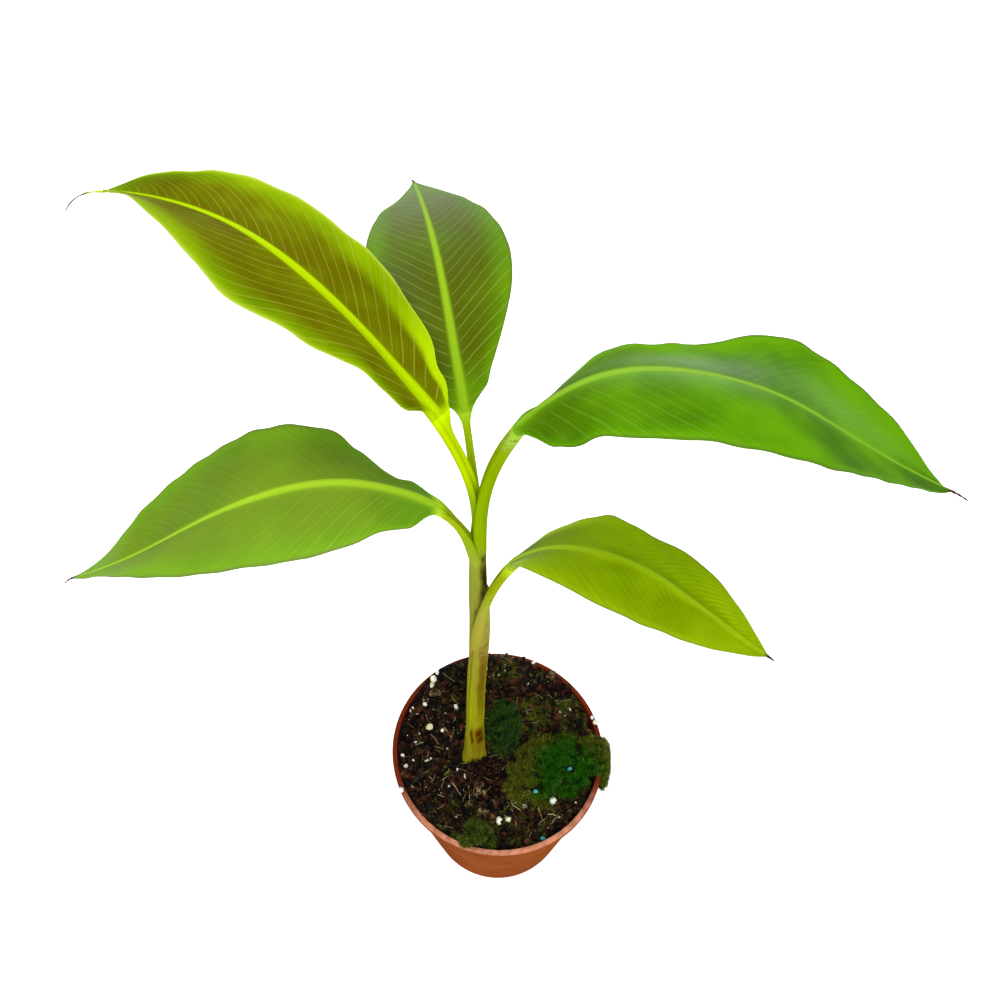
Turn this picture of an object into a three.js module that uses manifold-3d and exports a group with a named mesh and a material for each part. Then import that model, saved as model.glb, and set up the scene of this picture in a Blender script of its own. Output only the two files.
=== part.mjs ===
// Young banana plant in a nursery pot, in millimetres, +Z up.
//
// The origin is the centre of the pot's flat underside. The pseudostem, which stands in for a trunk,
// leans back (+Y). It carries five leaves: each is a tapering petiole and a broad blade on a midrib.
// leaf_1 is the youngest and highest leaf and leaf_5 the oldest and lowest.

import * as THREE from 'three';
import { mergeVertices } from 'three/addons/utils/BufferGeometryUtils.js';
import Module from 'manifold-3d';

const wasm = await Module();
wasm.setup();

// ---------------------------------------------------------------- driving dimensions

const GAP = 0.3;                          // clearance between neighbouring solids

// Pot: a 12 cm nursery pot in thin moulded plastic.
const POT_HEIGHT = 105;
const POT_RIM_RADIUS = 60;
const POT_BASE_RADIUS = 43;
const POT_WALL = 1.5;
const POT_FLOOR = 2;
const LIP_HEIGHT = 4;
const LIP_WIDTH = 3;
const LIP_OVERHANG = 1.6;                 // how far the lip stands out from the wall
const EDGE_ROUND = 0.7;
const POT_OVAL = 0.015;                   // the soft rim is pressed oval by this share of its radius
const POT_OVAL_AZIMUTH = 135;
const POT_SEGMENTS = 72;
const DRAIN_HOLES = 6;
const DRAIN_HOLE_RADIUS = 4;
const DRAIN_RING_RADIUS = 32;

// Potting mix, filled to a little below the rim.
const SOIL_TOP = 97;
const SOIL_SEGMENTS = 48;

// Pseudostem: horizontal rings of these radii at these heights above the soil, on a leaning axis.
const STEM_FOOT = new THREE.Vector3(-13.6, -2.8, SOIL_TOP + GAP);
const STEM_LEAN = new THREE.Vector3(0.032, 0.14, 1);      // travel of the axis per mm of height
const STEM_HEIGHTS = [0, 3, 8, 18, 40, 72, 97, 115, 137, 157, 180, 196, 200];
const STEM_RADII = [7.6, 7.1, 6.3, 5.7, 5.1, 4.9, 4.8, 4.6, 4.8, 4.7, 4.3, 3.4, 2.2];
const STEM_SIDES = 20;

// Petioles and sheaths.
const PETIOLE_SIDES = 12;
const PETIOLE_STEP = 5;

// Leaf blades.
const BLADE_THICKNESS = 2.2;              // about a hundredth of the longest blade
const BLADE_ROWS = 30;
const COLUMNS_A_SIDE = 4;
const TIP_HALF_WIDTH = 0.9;
const TIP_THICKNESS = 1.3;
const TAIL_STEP = 3;
const TAIL_SLIM = 0.7;

// Each leaf leaves the stem's axis "emerges" mm above the soil and runs in the vertical plane of its
// azimuth. Its sheath is part of the pseudostem up to where the petiole stands clear. Its pitch above
// the horizontal is given at the stem, at the blade's base, at one and two thirds of the blade and at
// its tip. "left" and "right", as seen by somebody who looks along the midrib from the stem, hold each
// half blade's width, the power by which it widens from its base, and the angles at which it rises (+)
// or droops (-) from the midrib, evenly spaced from base to tip. "wave" is the ripple of its margin:
// its size, its count along the blade and the share of a wave at which it starts. "tail" is the dry
// thread at the tip.
const LEAVES = [
  {
    azimuth: 147, emerges: 191, sheath: 28, petiole: 57, blade: 185,
    sheathRadius: 3.2, petioleRadius: 2.5, pitch: [90, 49, 30, -4, -19], tipPower: 0.98,
    left: { width: 31, basePower: 1.0, rise: [-10, 24, 8, 30, 40, 3], wave: [2.5, 3.1, 0.07] },
    right: { width: 31, basePower: 0.57, rise: [20, -9, -8, 1, 14, 8], wave: [1, 3.2, 0.2] },
    tail: { length: 30, turn: 12, drop: -38 },
  },
  {
    azimuth: 102, emerges: 184, sheath: 31, petiole: 56, blade: 136,
    sheathRadius: 2.8, petioleRadius: 2.0, pitch: [82, 44, 30, -5, -19], tipPower: 0.91,
    left: { width: 30, basePower: 0.72, rise: [8, 3, -3, -10, -12, -33], wave: [0.6, 2, 0] },
    right: { width: 30, basePower: 0.89, rise: [10, 20, 12, -1, -5, -13], wave: [0.6, 2.5, 0.5] },
    tail: { length: 6, turn: 10, drop: -23 },
  },
  {
    azimuth: 0, emerges: 173, sheath: 45, petiole: 80, blade: 207,
    sheathRadius: 3.6, petioleRadius: 3.0, pitch: [90, 62, -8, -36, -29], tipPower: 0.97,
    left: { width: 34.5, basePower: 0.95, rise: [-45, -27, -24, 10, 15, 25], wave: [0.8, 2.5, 0.3] },
    right: { width: 35, basePower: 0.69, rise: [-50, -1, 7, 10, 18, 10], wave: [1, 3, 0.5] },
    tail: { length: 10, turn: -8, drop: -36 },
  },
  {
    azimuth: 180, emerges: 157, sheath: 38, petiole: 53, blade: 191,
    sheathRadius: 4.2, petioleRadius: 2.8, pitch: [90, 46, -21, -36, -23], tipPower: 0.84,
    left: { width: 36.5, basePower: 0.70, rise: [-7, -10, 3, 23, 35, 45], wave: [1, 3, 0.1] },
    right: { width: 38, basePower: 0.66, rise: [-25, -25, 2, 6, 4, -29], wave: [0.8, 2.2, 0.5] },
    tail: { length: 6, turn: 19, drop: -46 },
  },
  {
    azimuth: -20, emerges: 97, sheath: 50, petiole: 91, blade: 131,
    sheathRadius: 5.0, petioleRadius: 2.4, pitch: [90, 64, 10, -35, -31], tipPower: 0.95,
    left: { width: 26, basePower: 0.53, rise: [-18, -21, -21, -14, 5, 3], wave: [0.7, 2, 0.5] },
    right: { width: 26, basePower: 0.42, rise: [35, 37, 10, -8, -6, -8], wave: [0.6, 2.5, 0] },
    tail: { length: 3, turn: 0, drop: -32 },
  },
];
const PITCH_STATIONS = [0, 1, 4 / 3, 5 / 3, 2];           // petiole 0 to 1, blade 1 to 2

// Moss: cushions of overlapping mounds, at x, y on the soil, with their half sizes.
const MOSS_CUSHIONS = {
  moss_right: [
    { x: 36, y: -9, rx: 27, ry: 19, rz: 9 },
    { x: 20, y: -18, rx: 17, ry: 16, rz: 7 },
    { x: 57, y: -7, rx: 7, ry: 14, rz: 12 },
  ],
  moss_back: [
    { x: 4, y: 14, rx: 10, ry: 18, rz: 6 },
  ],
  moss_front: [
    { x: -13, y: -50, rx: 11, ry: 8, rz: 10 },
  ],
};
const MOSS_SEGMENTS = 20;

// ---------------------------------------------------------------- materials

const plain = (color, roughness) => new THREE.MeshStandardMaterial({ color, roughness, metalness: 0 });

const TERRACOTTA_PLASTIC = plain(0xa85a35, 0.45);
const POTTING_MIX = plain(0x1d120b, 0.95);
const MOSS = plain(0x3f5a12, 0.95);
const SHEATH_GREEN = plain(0x9aa83a, 0.4);
const PETIOLE_GREEN = plain(0x9cb83c, 0.4);
const LEAF_GREEN = plain(0x5f9a1e, 0.35);

// ---------------------------------------------------------------- small helpers

const rad = THREE.MathUtils.degToRad;
const lerp = THREE.MathUtils.lerp;

// A smooth curve through values at rising stations that never overshoots them: its slope at a station
// is the harmonic mean of the slopes beside it, and 0 at a peak or a dip.
function smoothValue(stations, values, x) {
  const last = stations.length - 1;
  const slope = (i) => (values[i + 1] - values[i]) / (stations[i + 1] - stations[i]);
  const tangent = (i) => {
    const before = slope(Math.max(i - 1, 0));
    const after = slope(Math.min(i, last - 1));
    return before * after <= 0 ? 0 : (2 * before * after) / (before + after);
  };
  let i = 0;
  while (i < last - 1 && x > stations[i + 1]) i += 1;
  const h = stations[i + 1] - stations[i];
  const s = THREE.MathUtils.clamp((x - stations[i]) / h, 0, 1);
  return values[i] * (1 + 2 * s) * (1 - s) ** 2 + h * tangent(i) * s * (1 - s) ** 2
    + values[i + 1] * s * s * (3 - 2 * s) + h * tangent(i + 1) * s * s * (s - 1);
}

// The same curve with its stations evenly spaced from 0 to 1.
function smoothEven(values, x) {
  const stations = values.map((_, i) => i / (values.length - 1));
  return smoothValue(stations, values, x);
}

function geometryFrom(positions, indices) {
  const geometry = new THREE.BufferGeometry();
  geometry.setAttribute('position', new THREE.Float32BufferAttribute(positions, 3));
  geometry.setIndex(indices);
  return geometry;
}

// A closed skin over equal rings of points, which run anticlockwise seen against the way of travel.
function skinOver(rings) {
  const n = rings[0].length;
  const positions = rings.flat().flatMap((p) => p.toArray());
  const indices = [];
  for (let r = 0; r + 1 < rings.length; r += 1) {
    for (let k = 0; k < n; k += 1) {
      const a = r * n + k;
      const b = r * n + ((k + 1) % n);
      indices.push(a, b, b + n, a, b + n, a + n);
    }
  }
  for (const [ring, flipped] of [[0, true], [rings.length - 1, false]]) {
    const cap = positions.length / 3;
    const centre = new THREE.Vector3();
    rings[ring].forEach((p) => centre.addScaledVector(p, 1 / n));
    positions.push(...centre.toArray());
    for (let k = 0; k < n; k += 1) {
      const a = ring * n + k;
      const b = ring * n + ((k + 1) % n);
      indices.push(...(flipped ? [cap, b, a] : [cap, a, b]));
    }
  }
  return geometryFrom(positions, indices);
}

function toSolid(geometry) {
  const bare = geometry.clone();
  bare.deleteAttribute('normal');
  bare.deleteAttribute('uv');
  const merged = mergeVertices(bare, 1e-4);
  return new wasm.Manifold(new wasm.Mesh({
    numProp: 3,
    vertProperties: new Float32Array(merged.attributes.position.array),
    triVerts: new Uint32Array(merged.index.array),
  }));
}

function fromSolid(solid) {
  const mesh = solid.getMesh();
  return geometryFrom(Array.from(mesh.vertProperties), Array.from(mesh.triVerts));
}

// The largest shell alone, so that loose scraps are dropped and sealed pockets are filled.
function mainShell(solid) {
  return solid.decompose().reduce((a, b) => (a.volume() > b.volume() ? a : b));
}

function latheUpright(profile, segments) {
  return new THREE.LatheGeometry(profile.map(([r, z]) => new THREE.Vector2(r, z)), segments)
    .rotateX(Math.PI / 2);
}

// Presses a round geometry oval, from nothing at the pot's underside to the full share at its rim.
function pressedOval(geometry) {
  const position = geometry.attributes.position;
  const cross = rad(POT_OVAL_AZIMUTH);
  for (let i = 0; i < position.count; i += 1) {
    const [x, y, z] = [position.getX(i), position.getY(i), position.getZ(i)];
    const share = 1 + POT_OVAL * (z / POT_HEIGHT) * Math.cos(2 * (Math.atan2(y, x) - cross));
    position.setXY(i, x * share, y * share);
  }
  return geometry;
}

// ---------------------------------------------------------------- pot and potting mix

const WALL_TOP_RADIUS = POT_RIM_RADIUS - LIP_OVERHANG;
const wallRadiusAt = (z) => lerp(POT_BASE_RADIUS, WALL_TOP_RADIUS, z / (POT_HEIGHT - LIP_HEIGHT));

function potProfile(grow = 0) {
  const innerTop = POT_RIM_RADIUS - LIP_WIDTH - grow;
  const innerFloor = wallRadiusAt(POT_FLOOR) - POT_WALL - grow;
  const top = POT_HEIGHT + grow;
  const outer = POT_RIM_RADIUS + grow;
  return [
    [0, -grow],
    [POT_BASE_RADIUS - EDGE_ROUND + grow, -grow],
    [POT_BASE_RADIUS + grow, EDGE_ROUND],
    [WALL_TOP_RADIUS + grow, POT_HEIGHT - LIP_HEIGHT - grow],
    [outer, POT_HEIGHT - LIP_HEIGHT + EDGE_ROUND / 2 - grow],
    [outer, top - EDGE_ROUND],
    [outer - EDGE_ROUND, top],
    [innerTop + EDGE_ROUND, top],
    [innerTop, top - EDGE_ROUND],
    [innerTop, POT_HEIGHT - LIP_HEIGHT],
    [innerFloor, POT_FLOOR + grow],
    [0, POT_FLOOR + grow],
  ];
}

function potGeometry() {
  let pot = toSolid(pressedOval(latheUpright(potProfile(), POT_SEGMENTS)));
  for (let i = 0; i < DRAIN_HOLES; i += 1) {
    const angle = (i / DRAIN_HOLES) * 2 * Math.PI;
    const hole = new THREE.CylinderGeometry(DRAIN_HOLE_RADIUS, DRAIN_HOLE_RADIUS, 3 * POT_FLOOR, 20)
      .rotateX(Math.PI / 2)
      .translate(DRAIN_RING_RADIUS * Math.cos(angle), DRAIN_RING_RADIUS * Math.sin(angle), POT_FLOOR / 2);
    pot = pot.subtract(toSolid(hole));
  }
  return fromSolid(pot);
}

function soilGeometry() {
  const innerRadiusAt = (z) => wallRadiusAt(z) - POT_WALL - GAP;
  const floor = POT_FLOOR + GAP;
  const lipInner = POT_RIM_RADIUS - LIP_WIDTH - GAP;
  return pressedOval(latheUpright([
    [0, floor],
    [innerRadiusAt(floor) - GAP, floor],
    [Math.min(innerRadiusAt(SOIL_TOP), lipInner) - GAP, SOIL_TOP],
    [0, SOIL_TOP],
  ], SOIL_SEGMENTS));
}

// ---------------------------------------------------------------- pseudostem and petioles

const axisPoint = (height) => STEM_FOOT.clone().addScaledVector(STEM_LEAN, height);

function stemTube(grow = 0) {
  const rings = STEM_HEIGHTS.map((height, i) => {
    const centre = axisPoint(height);
    return Array.from({ length: STEM_SIDES }, (_, k) => {
      const angle = (k / STEM_SIDES) * 2 * Math.PI;
      const r = STEM_RADII[i] + grow;
      return centre.clone().add(new THREE.Vector3(r * Math.cos(angle), r * Math.sin(angle), 0));
    });
  });
  return skinOver(rings);
}

// The directions of a limb at an azimuth and pitch, in degrees: along it, its upper side, its right.
function frameOf(azimuth, pitch) {
  const [a, p] = [rad(azimuth), rad(pitch)];
  return {
    along: new THREE.Vector3(Math.cos(a) * Math.cos(p), Math.sin(a) * Math.cos(p), Math.sin(p)),
    normal: new THREE.Vector3(-Math.cos(a) * Math.sin(p), -Math.sin(a) * Math.sin(p), Math.cos(p)),
    right: new THREE.Vector3(Math.sin(a), -Math.cos(a), 0),
  };
}

// Samples of a leaf's centreline a millimetre apart, from the stem's axis to the blade's tip.
function midribOf(leaf) {
  const total = leaf.petiole + leaf.blade;
  const travelAt = (s) => (s < leaf.petiole ? s / leaf.petiole : 1 + (s - leaf.petiole) / leaf.blade);
  const frameAt = (s) => frameOf(leaf.azimuth, smoothValue(PITCH_STATIONS, leaf.pitch, travelAt(s)));
  const samples = [{ ...frameAt(0), point: axisPoint(leaf.emerges), length: 0 }];
  while (samples.at(-1).length < total) {
    const { point, length } = samples.at(-1);
    const next = Math.min(length + 1, total);
    const { along } = frameAt((length + next) / 2);
    const nextPoint = point.clone().addScaledVector(along, next - length);
    samples.push({ ...frameAt(next), point: nextPoint, length: next });
  }
  return samples;
}

// The sample at a length along the centreline, worked out between its two neighbours.
function sampleAt(samples, length) {
  const i = THREE.MathUtils.clamp(Math.floor(length), 0, samples.length - 2);
  const [a, b] = [samples[i], samples[i + 1]];
  const s = THREE.MathUtils.clamp((length - a.length) / (b.length - a.length), 0, 1);
  return {
    ...a,
    length,
    point: a.point.clone().lerp(b.point, s),
    along: a.along.clone().lerp(b.along, s).normalize(),
    normal: a.normal.clone().lerp(b.normal, s).normalize(),
  };
}

function petioleRadius(leaf, length) {
  return lerp(leaf.sheathRadius, leaf.petioleRadius, THREE.MathUtils.smoothstep(length, 0, leaf.sheath));
}

function limbBetween(leaf, samples, from, to) {
  const steps = Math.max(2, Math.round((to - from) / PETIOLE_STEP));
  const rings = Array.from({ length: steps + 1 }, (_, i) => {
    const frame = sampleAt(samples, lerp(from, to, i / steps));
    const radius = petioleRadius(leaf, frame.length);
    return Array.from({ length: PETIOLE_SIDES }, (_unused, k) => {
      const angle = (k / PETIOLE_SIDES) * 2 * Math.PI;
      return frame.point.clone()
        .addScaledVector(frame.normal, radius * Math.cos(angle))
        .addScaledVector(frame.right, radius * Math.sin(angle));
    });
  });
  return skinOver(rings);
}

// The pseudostem is the tube with each leaf's sheath fused on, up to where its petiole stands clear.
function stemGeometry(midribs) {
  let stem = toSolid(stemTube());
  LEAVES.forEach((leaf, i) => {
    stem = stem.add(toSolid(limbBetween(leaf, midribs[i], 0, leaf.sheath)));
  });
  return fromSolid(mainShell(stem));
}

// ---------------------------------------------------------------- leaf blades

function outlineShare(basePower, tipPower, t) {
  const widest = basePower / (basePower + tipPower);
  return (t / widest) ** basePower * ((1 - t) / (1 - widest)) ** tipPower;
}

// The lift of a half blade's margin by its ripple, which dies away at the blade's ends.
function marginWave(half, t) {
  const [size, count, start] = half.wave;
  return size * 4 * t * (1 - t) * Math.sin(2 * Math.PI * (count * t + start));
}

// One closed section of the blade: along the top from left to right, then back underneath.
function bladeSection(leaf, frame, t) {
  const ribRadius = lerp(leaf.petioleRadius, TIP_THICKNESS / 2, t);
  const edge = lerp(BLADE_THICKNESS, TIP_THICKNESS, THREE.MathUtils.smoothstep(t, 0.9, 1));
  const top = [];
  const under = [];
  for (let c = -COLUMNS_A_SIDE; c <= COLUMNS_A_SIDE; c += 1) {
    const half = c < 0 ? leaf.left : leaf.right;
    const rise = rad(smoothEven(half.rise, t));
    const share = outlineShare(half.basePower, leaf.tipPower, t);
    const width = Math.max(half.width * share, ribRadius, TIP_HALF_WIDTH);
    const ribEdge = Math.min(ribRadius, 0.9 * width);
    const column = Math.abs(c);
    const distance = column === 0 ? 0 : lerp(ribEdge, width, (column - 1) / (COLUMNS_A_SIDE - 1));
    const side = Math.sign(c) * distance * Math.cos(rise);
    const fold = THREE.MathUtils.smoothstep(width, ribRadius, 3 * ribRadius);
    const lift = distance * Math.sin(rise) * fold + marginWave(half, t) * (distance / width) ** 2;
    const depth = column === 0 ? Math.max(2 * ribRadius, edge) : edge;
    const point = frame.point.clone().addScaledVector(frame.right, side);
    top.push(point.clone().addScaledVector(frame.normal, lift + edge / 2));
    under.push(point.clone().addScaledVector(frame.normal, lift + edge / 2 - depth));
  }
  return [...top, ...under.reverse()];
}

// The dry thread bends on from the blade's tip and grows slimmer.
function tailSections(leaf, tip) {
  const steps = Math.max(2, Math.round(leaf.tail.length / TAIL_STEP));
  const point = tip.point.clone();
  return Array.from({ length: steps }, (_, i) => {
    const share = (i + 1) / steps;
    const pitch = lerp(leaf.pitch.at(-1), leaf.tail.drop, share);
    const frame = frameOf(leaf.azimuth + leaf.tail.turn * share, pitch);
    point.addScaledVector(frame.along, leaf.tail.length / steps);
    return { ...frame, point: point.clone(), slim: lerp(1, TAIL_SLIM, share) };
  });
}

function bladeGeometry(leaf, samples) {
  const first = leaf.petiole + GAP;
  const total = leaf.petiole + leaf.blade;
  const rings = Array.from({ length: BLADE_ROWS + 1 }, (_, i) => {
    const length = lerp(first, total, i / BLADE_ROWS);
    const t = (length - leaf.petiole) / leaf.blade;
    return bladeSection(leaf, sampleAt(samples, length), Math.min(t, 1));
  });
  for (const frame of tailSections(leaf, samples.at(-1))) {
    rings.push(bladeSection(leaf, frame, 1).map((p) => frame.point.clone().lerp(p, frame.slim)));
  }
  return skinOver(rings);
}

// ---------------------------------------------------------------- moss

function moundGeometry(mound) {
  return new THREE.SphereGeometry(1, MOSS_SEGMENTS, MOSS_SEGMENTS / 2)
    .rotateX(Math.PI / 2)
    .scale(mound.rx, mound.ry, mound.rz)
    .translate(mound.x, mound.y, SOIL_TOP + GAP);
}

function mossGeometry(mounds, stemFoot) {
  let moss = mounds.map((mound) => toSolid(moundGeometry(mound))).reduce((a, b) => a.add(b));
  const belowSoil = new THREE.BoxGeometry(4 * POT_RIM_RADIUS, 4 * POT_RIM_RADIUS, POT_HEIGHT)
    .translate(0, 0, SOIL_TOP + GAP - POT_HEIGHT / 2);
  const pot = toSolid(pressedOval(latheUpright(potProfile(GAP), POT_SEGMENTS)));
  moss = moss.subtract(toSolid(belowSoil)).subtract(pot).subtract(stemFoot);
  return fromSolid(mainShell(moss));
}

// ---------------------------------------------------------------- assembly

const group = new THREE.Group();

function addNode(name, geometry, material) {
  const mesh = new THREE.Mesh(geometry, material);
  mesh.name = name;
  group.add(mesh);
}

const midribs = LEAVES.map(midribOf);

addNode('pot', potGeometry(), TERRACOTTA_PLASTIC);
addNode('soil', soilGeometry(), POTTING_MIX);
const grownStemFoot = toSolid(stemTube(GAP));
for (const [name, mounds] of Object.entries(MOSS_CUSHIONS)) {
  addNode(name, mossGeometry(mounds, grownStemFoot), MOSS);
}
addNode('pseudostem', stemGeometry(midribs), SHEATH_GREEN);
LEAVES.forEach((leaf, i) => {
  const number = i + 1;
  addNode(`petiole_${number}`,
    limbBetween(leaf, midribs[i], leaf.sheath + GAP, leaf.petiole), PETIOLE_GREEN);
  addNode(`leaf_${number}`, bladeGeometry(leaf, midribs[i]), LEAF_GREEN);
});

export default group;
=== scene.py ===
# %% [markdown]
# # A young banana plant in its nursery pot
# This lesson dresses a imported CAD model of a banana plant. The CAD model fixes every size and place,
# and each step below makes one finer piece in the same place: the leaf blades, their petioles, the
# false stem of rolled leaf sheaths, the plastic pot, the potting mix and the moss that grows on it.
# The CAD file is loaded first.

import math
import random

import bpy
import numpy as np
from mathutils import Euler, Matrix, Vector


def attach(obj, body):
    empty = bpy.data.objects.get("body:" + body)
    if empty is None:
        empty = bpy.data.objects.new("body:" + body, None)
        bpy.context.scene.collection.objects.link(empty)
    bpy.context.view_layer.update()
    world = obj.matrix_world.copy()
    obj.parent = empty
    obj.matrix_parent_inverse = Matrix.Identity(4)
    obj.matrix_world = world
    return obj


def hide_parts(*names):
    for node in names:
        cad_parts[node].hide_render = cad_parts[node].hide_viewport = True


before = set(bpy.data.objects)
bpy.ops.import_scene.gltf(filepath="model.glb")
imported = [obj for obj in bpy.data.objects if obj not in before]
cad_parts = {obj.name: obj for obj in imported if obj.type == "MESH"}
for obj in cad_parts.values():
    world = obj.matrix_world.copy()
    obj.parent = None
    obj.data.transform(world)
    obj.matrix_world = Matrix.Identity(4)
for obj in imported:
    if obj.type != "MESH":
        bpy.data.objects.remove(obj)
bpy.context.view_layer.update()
MM = 0.001
print("CAD nodes:", len(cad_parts))

# %% [markdown]
# ## Camera, floor and light
# The plant is looked down on from the front and above, as on a potting bench. The camera only takes a
# place, a turn and a focal length. The light is that of a white studio: a large soft panel overhead,
# a second one in front that fills the stem and the pot, a weak one behind the plant that shines
# through the thin leaves, and a white room all round.

# %% Camera
FOCAL_LENGTH = 32.4
CAMERA_PLACE = (0.0014, -0.205, 0.596)
# Degrees away from straight down.
CAMERA_TILT = 38

camera_data = bpy.data.cameras.new("camera")
camera_data.lens = FOCAL_LENGTH
camera = bpy.data.objects.new("camera", camera_data)
camera.location = CAMERA_PLACE
camera.rotation_euler = (math.radians(CAMERA_TILT), 0, 0)
bpy.context.scene.collection.objects.link(camera)
bpy.context.scene.camera = camera
bpy.context.scene.view_settings.view_transform = "Standard"
print("the camera looks", 90 - CAMERA_TILT, "degrees below level")


# %% Soft light
def soft_panel(name, place, aimed_at, size, watts):
    data = bpy.data.lights.new(name, "AREA")
    data.shape = "DISK"
    data.size = size
    data.energy = watts
    panel = bpy.data.objects.new(name, data)
    panel.location = place
    panel.rotation_euler = (Vector(aimed_at) - Vector(place)).to_track_quat("-Z", "Y").to_euler()
    bpy.context.scene.collection.objects.link(panel)
    return panel


PLANT_MIDDLE = (0, 0.03, 0.28)
ROOM_STRENGTH = 0.3
soft_panel("overhead_panel", (-0.35, 0.3, 1.7), PLANT_MIDDLE, 1.5, 27)
soft_panel("back_panel", (-0.2, 1.9, 0.9), PLANT_MIDDLE, 1.1, 7)
soft_panel("front_panel", (0.25, -1.3, 0.95), PLANT_MIDDLE, 1.4, 22)

room = bpy.data.worlds.new("white_room")
room.use_nodes = True
room.node_tree.nodes["Background"].inputs["Color"].default_value = (1, 1, 1, 1)
room.node_tree.nodes["Background"].inputs["Strength"].default_value = ROOM_STRENGTH
bpy.context.scene.world = room
print("lights:", [light.name for light in bpy.data.lights])


# %% [markdown]
# ## Colours and materials
# Colours are written as the hex values that a colour picker shows, and one function turns them to the
# linear light that shaders work in. One small function adds any node, with its settings and links, so
# each material below reads as a short recipe. Sockets go by name or by number. Three kinds of node come
# up again and again: MapRange takes a value at 0 and stretches the range from 1 to 2 over that from 3
# to 4, a colour Mix goes from the colour at 6 to the colour at 7 by the share at 0, and Math works on
# the values at 0 and 1. A pattern's scale says how many of its grains go to a metre, so it is worked out
# from the width in millimetres that one grain has on the real thing.

# %% Helpers for materials
def linear(hex_colour):
    channels = [int(hex_colour[i:i + 2], 16) / 255 for i in (1, 3, 5)]
    return [c / 12.92 if c <= 0.04045 else ((c + 0.055) / 1.055) ** 2.4 for c in channels] + [1.0]


def grain_scale(width):
    """The scale of a pattern whose grains are this many mm wide, to two figures."""
    return float(f"{1 / (width * MM):.2g}")


def add(material, kind, inputs=None, output=0, stops=(), **settings):
    """Adds a shader node and gives back one output, for the next node to take in.

    An input is a number, a hex colour or another node's output. Stops fill a colour ramp.
    """
    tree = material.node_tree
    node = tree.nodes.new("ShaderNode" + kind)
    for name, value in settings.items():
        setattr(node, name, value)
    for key, value in (inputs or {}).items():
        if isinstance(value, bpy.types.NodeSocket):
            tree.links.new(value, node.inputs[key])
        else:
            node.inputs[key].default_value = linear(value) if isinstance(value, str) else value
    for index, (position, colour) in enumerate(stops):
        elements = node.color_ramp.elements
        element = elements[index] if index < 2 else elements.new(position)
        element.position = position
        element.color = linear(colour)
    return node.outputs[output] if node.outputs else None


def new_material(name):
    material = bpy.data.materials.new(name)
    material.use_nodes = True
    material.node_tree.nodes.clear()
    return material


print("scale of a pattern with grains of 3.8 mm:", grain_scale(3.8))


# %% [markdown]
# The floor is a seamless sheet of matt white studio paper. A little glow of its own makes it bright
# enough to lose its shadows.

# %% The floor
FLOOR_RADIUS = 4


def paper_floor():
    bpy.ops.object.select_all(action="DESELECT")
    bpy.ops.mesh.primitive_circle_add(vertices=96, radius=FLOOR_RADIUS, fill_type="NGON",
                                      location=(0, 0, 0))
    floor = bpy.context.active_object
    floor.name = "floor"
    paper = new_material("studio_paper")
    matt = add(paper, "BsdfDiffuse", {"Color": "#F6F6F6"})
    glow = add(paper, "Emission", {"Color": (1, 1, 1, 1), "Strength": 0.5})
    both = add(paper, "AddShader", {0: matt, 1: glow})
    add(paper, "OutputMaterial", {"Surface": both})
    floor.data.materials.append(paper)


paper_floor()
print("floor:", 2 * FLOOR_RADIUS, "m across, with no place in the part")


# %% [markdown]
# ## The rule that shapes a leaf
# A leaf grows from the axis of the stem, runs up as a petiole, arches over and widens to a blade whose
# two halves rise or droop from the midrib. The CAD model holds this as a few values for each leaf, and
# the same values are named here, in millimetres and degrees, so that the finer leaf lies on the plain
# one. The blade could be sculpted by hand, but then the five leaves wouldn't follow the CAD model.
#
# A leaf is named by its azimuth, its lengths and its pitch, which is its slope at five stations: the
# petiole's start, the blade's base, a third and two thirds along the blade, and the tip. Each half has
# its widest width, the power by which it widens, its rise from the base to the tip, and a wave: its
# size, how many, and where it starts. The finer leaf adds the rest. A bump is where a margin swells or
# draws in: how far along, how long and how many millimetres. A wing runs down on to the petiole: how
# long and how wide. The tail is the dry thread: its length, how far it turns sideways, its last pitch,
# and how late it hooks over. Sunk is how much slimmer a petiole starts inside the stem and over how
# many millimetres, slim is how much thinner it gets on its way, and bow is how far it stands out.

# %% The leaves' measures
POT_HEIGHT = 105
SOIL_TOP = 97
GAP = 0.3
STEM_FOOT = np.array([-13.6, -2.8, SOIL_TOP + GAP])
STEM_LEAN = np.array([0.032, 0.14, 1])
PITCH_STATIONS = [0, 1, 4 / 3, 5 / 3, 2]
TIP_RIB_RADIUS = 0.65

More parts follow.
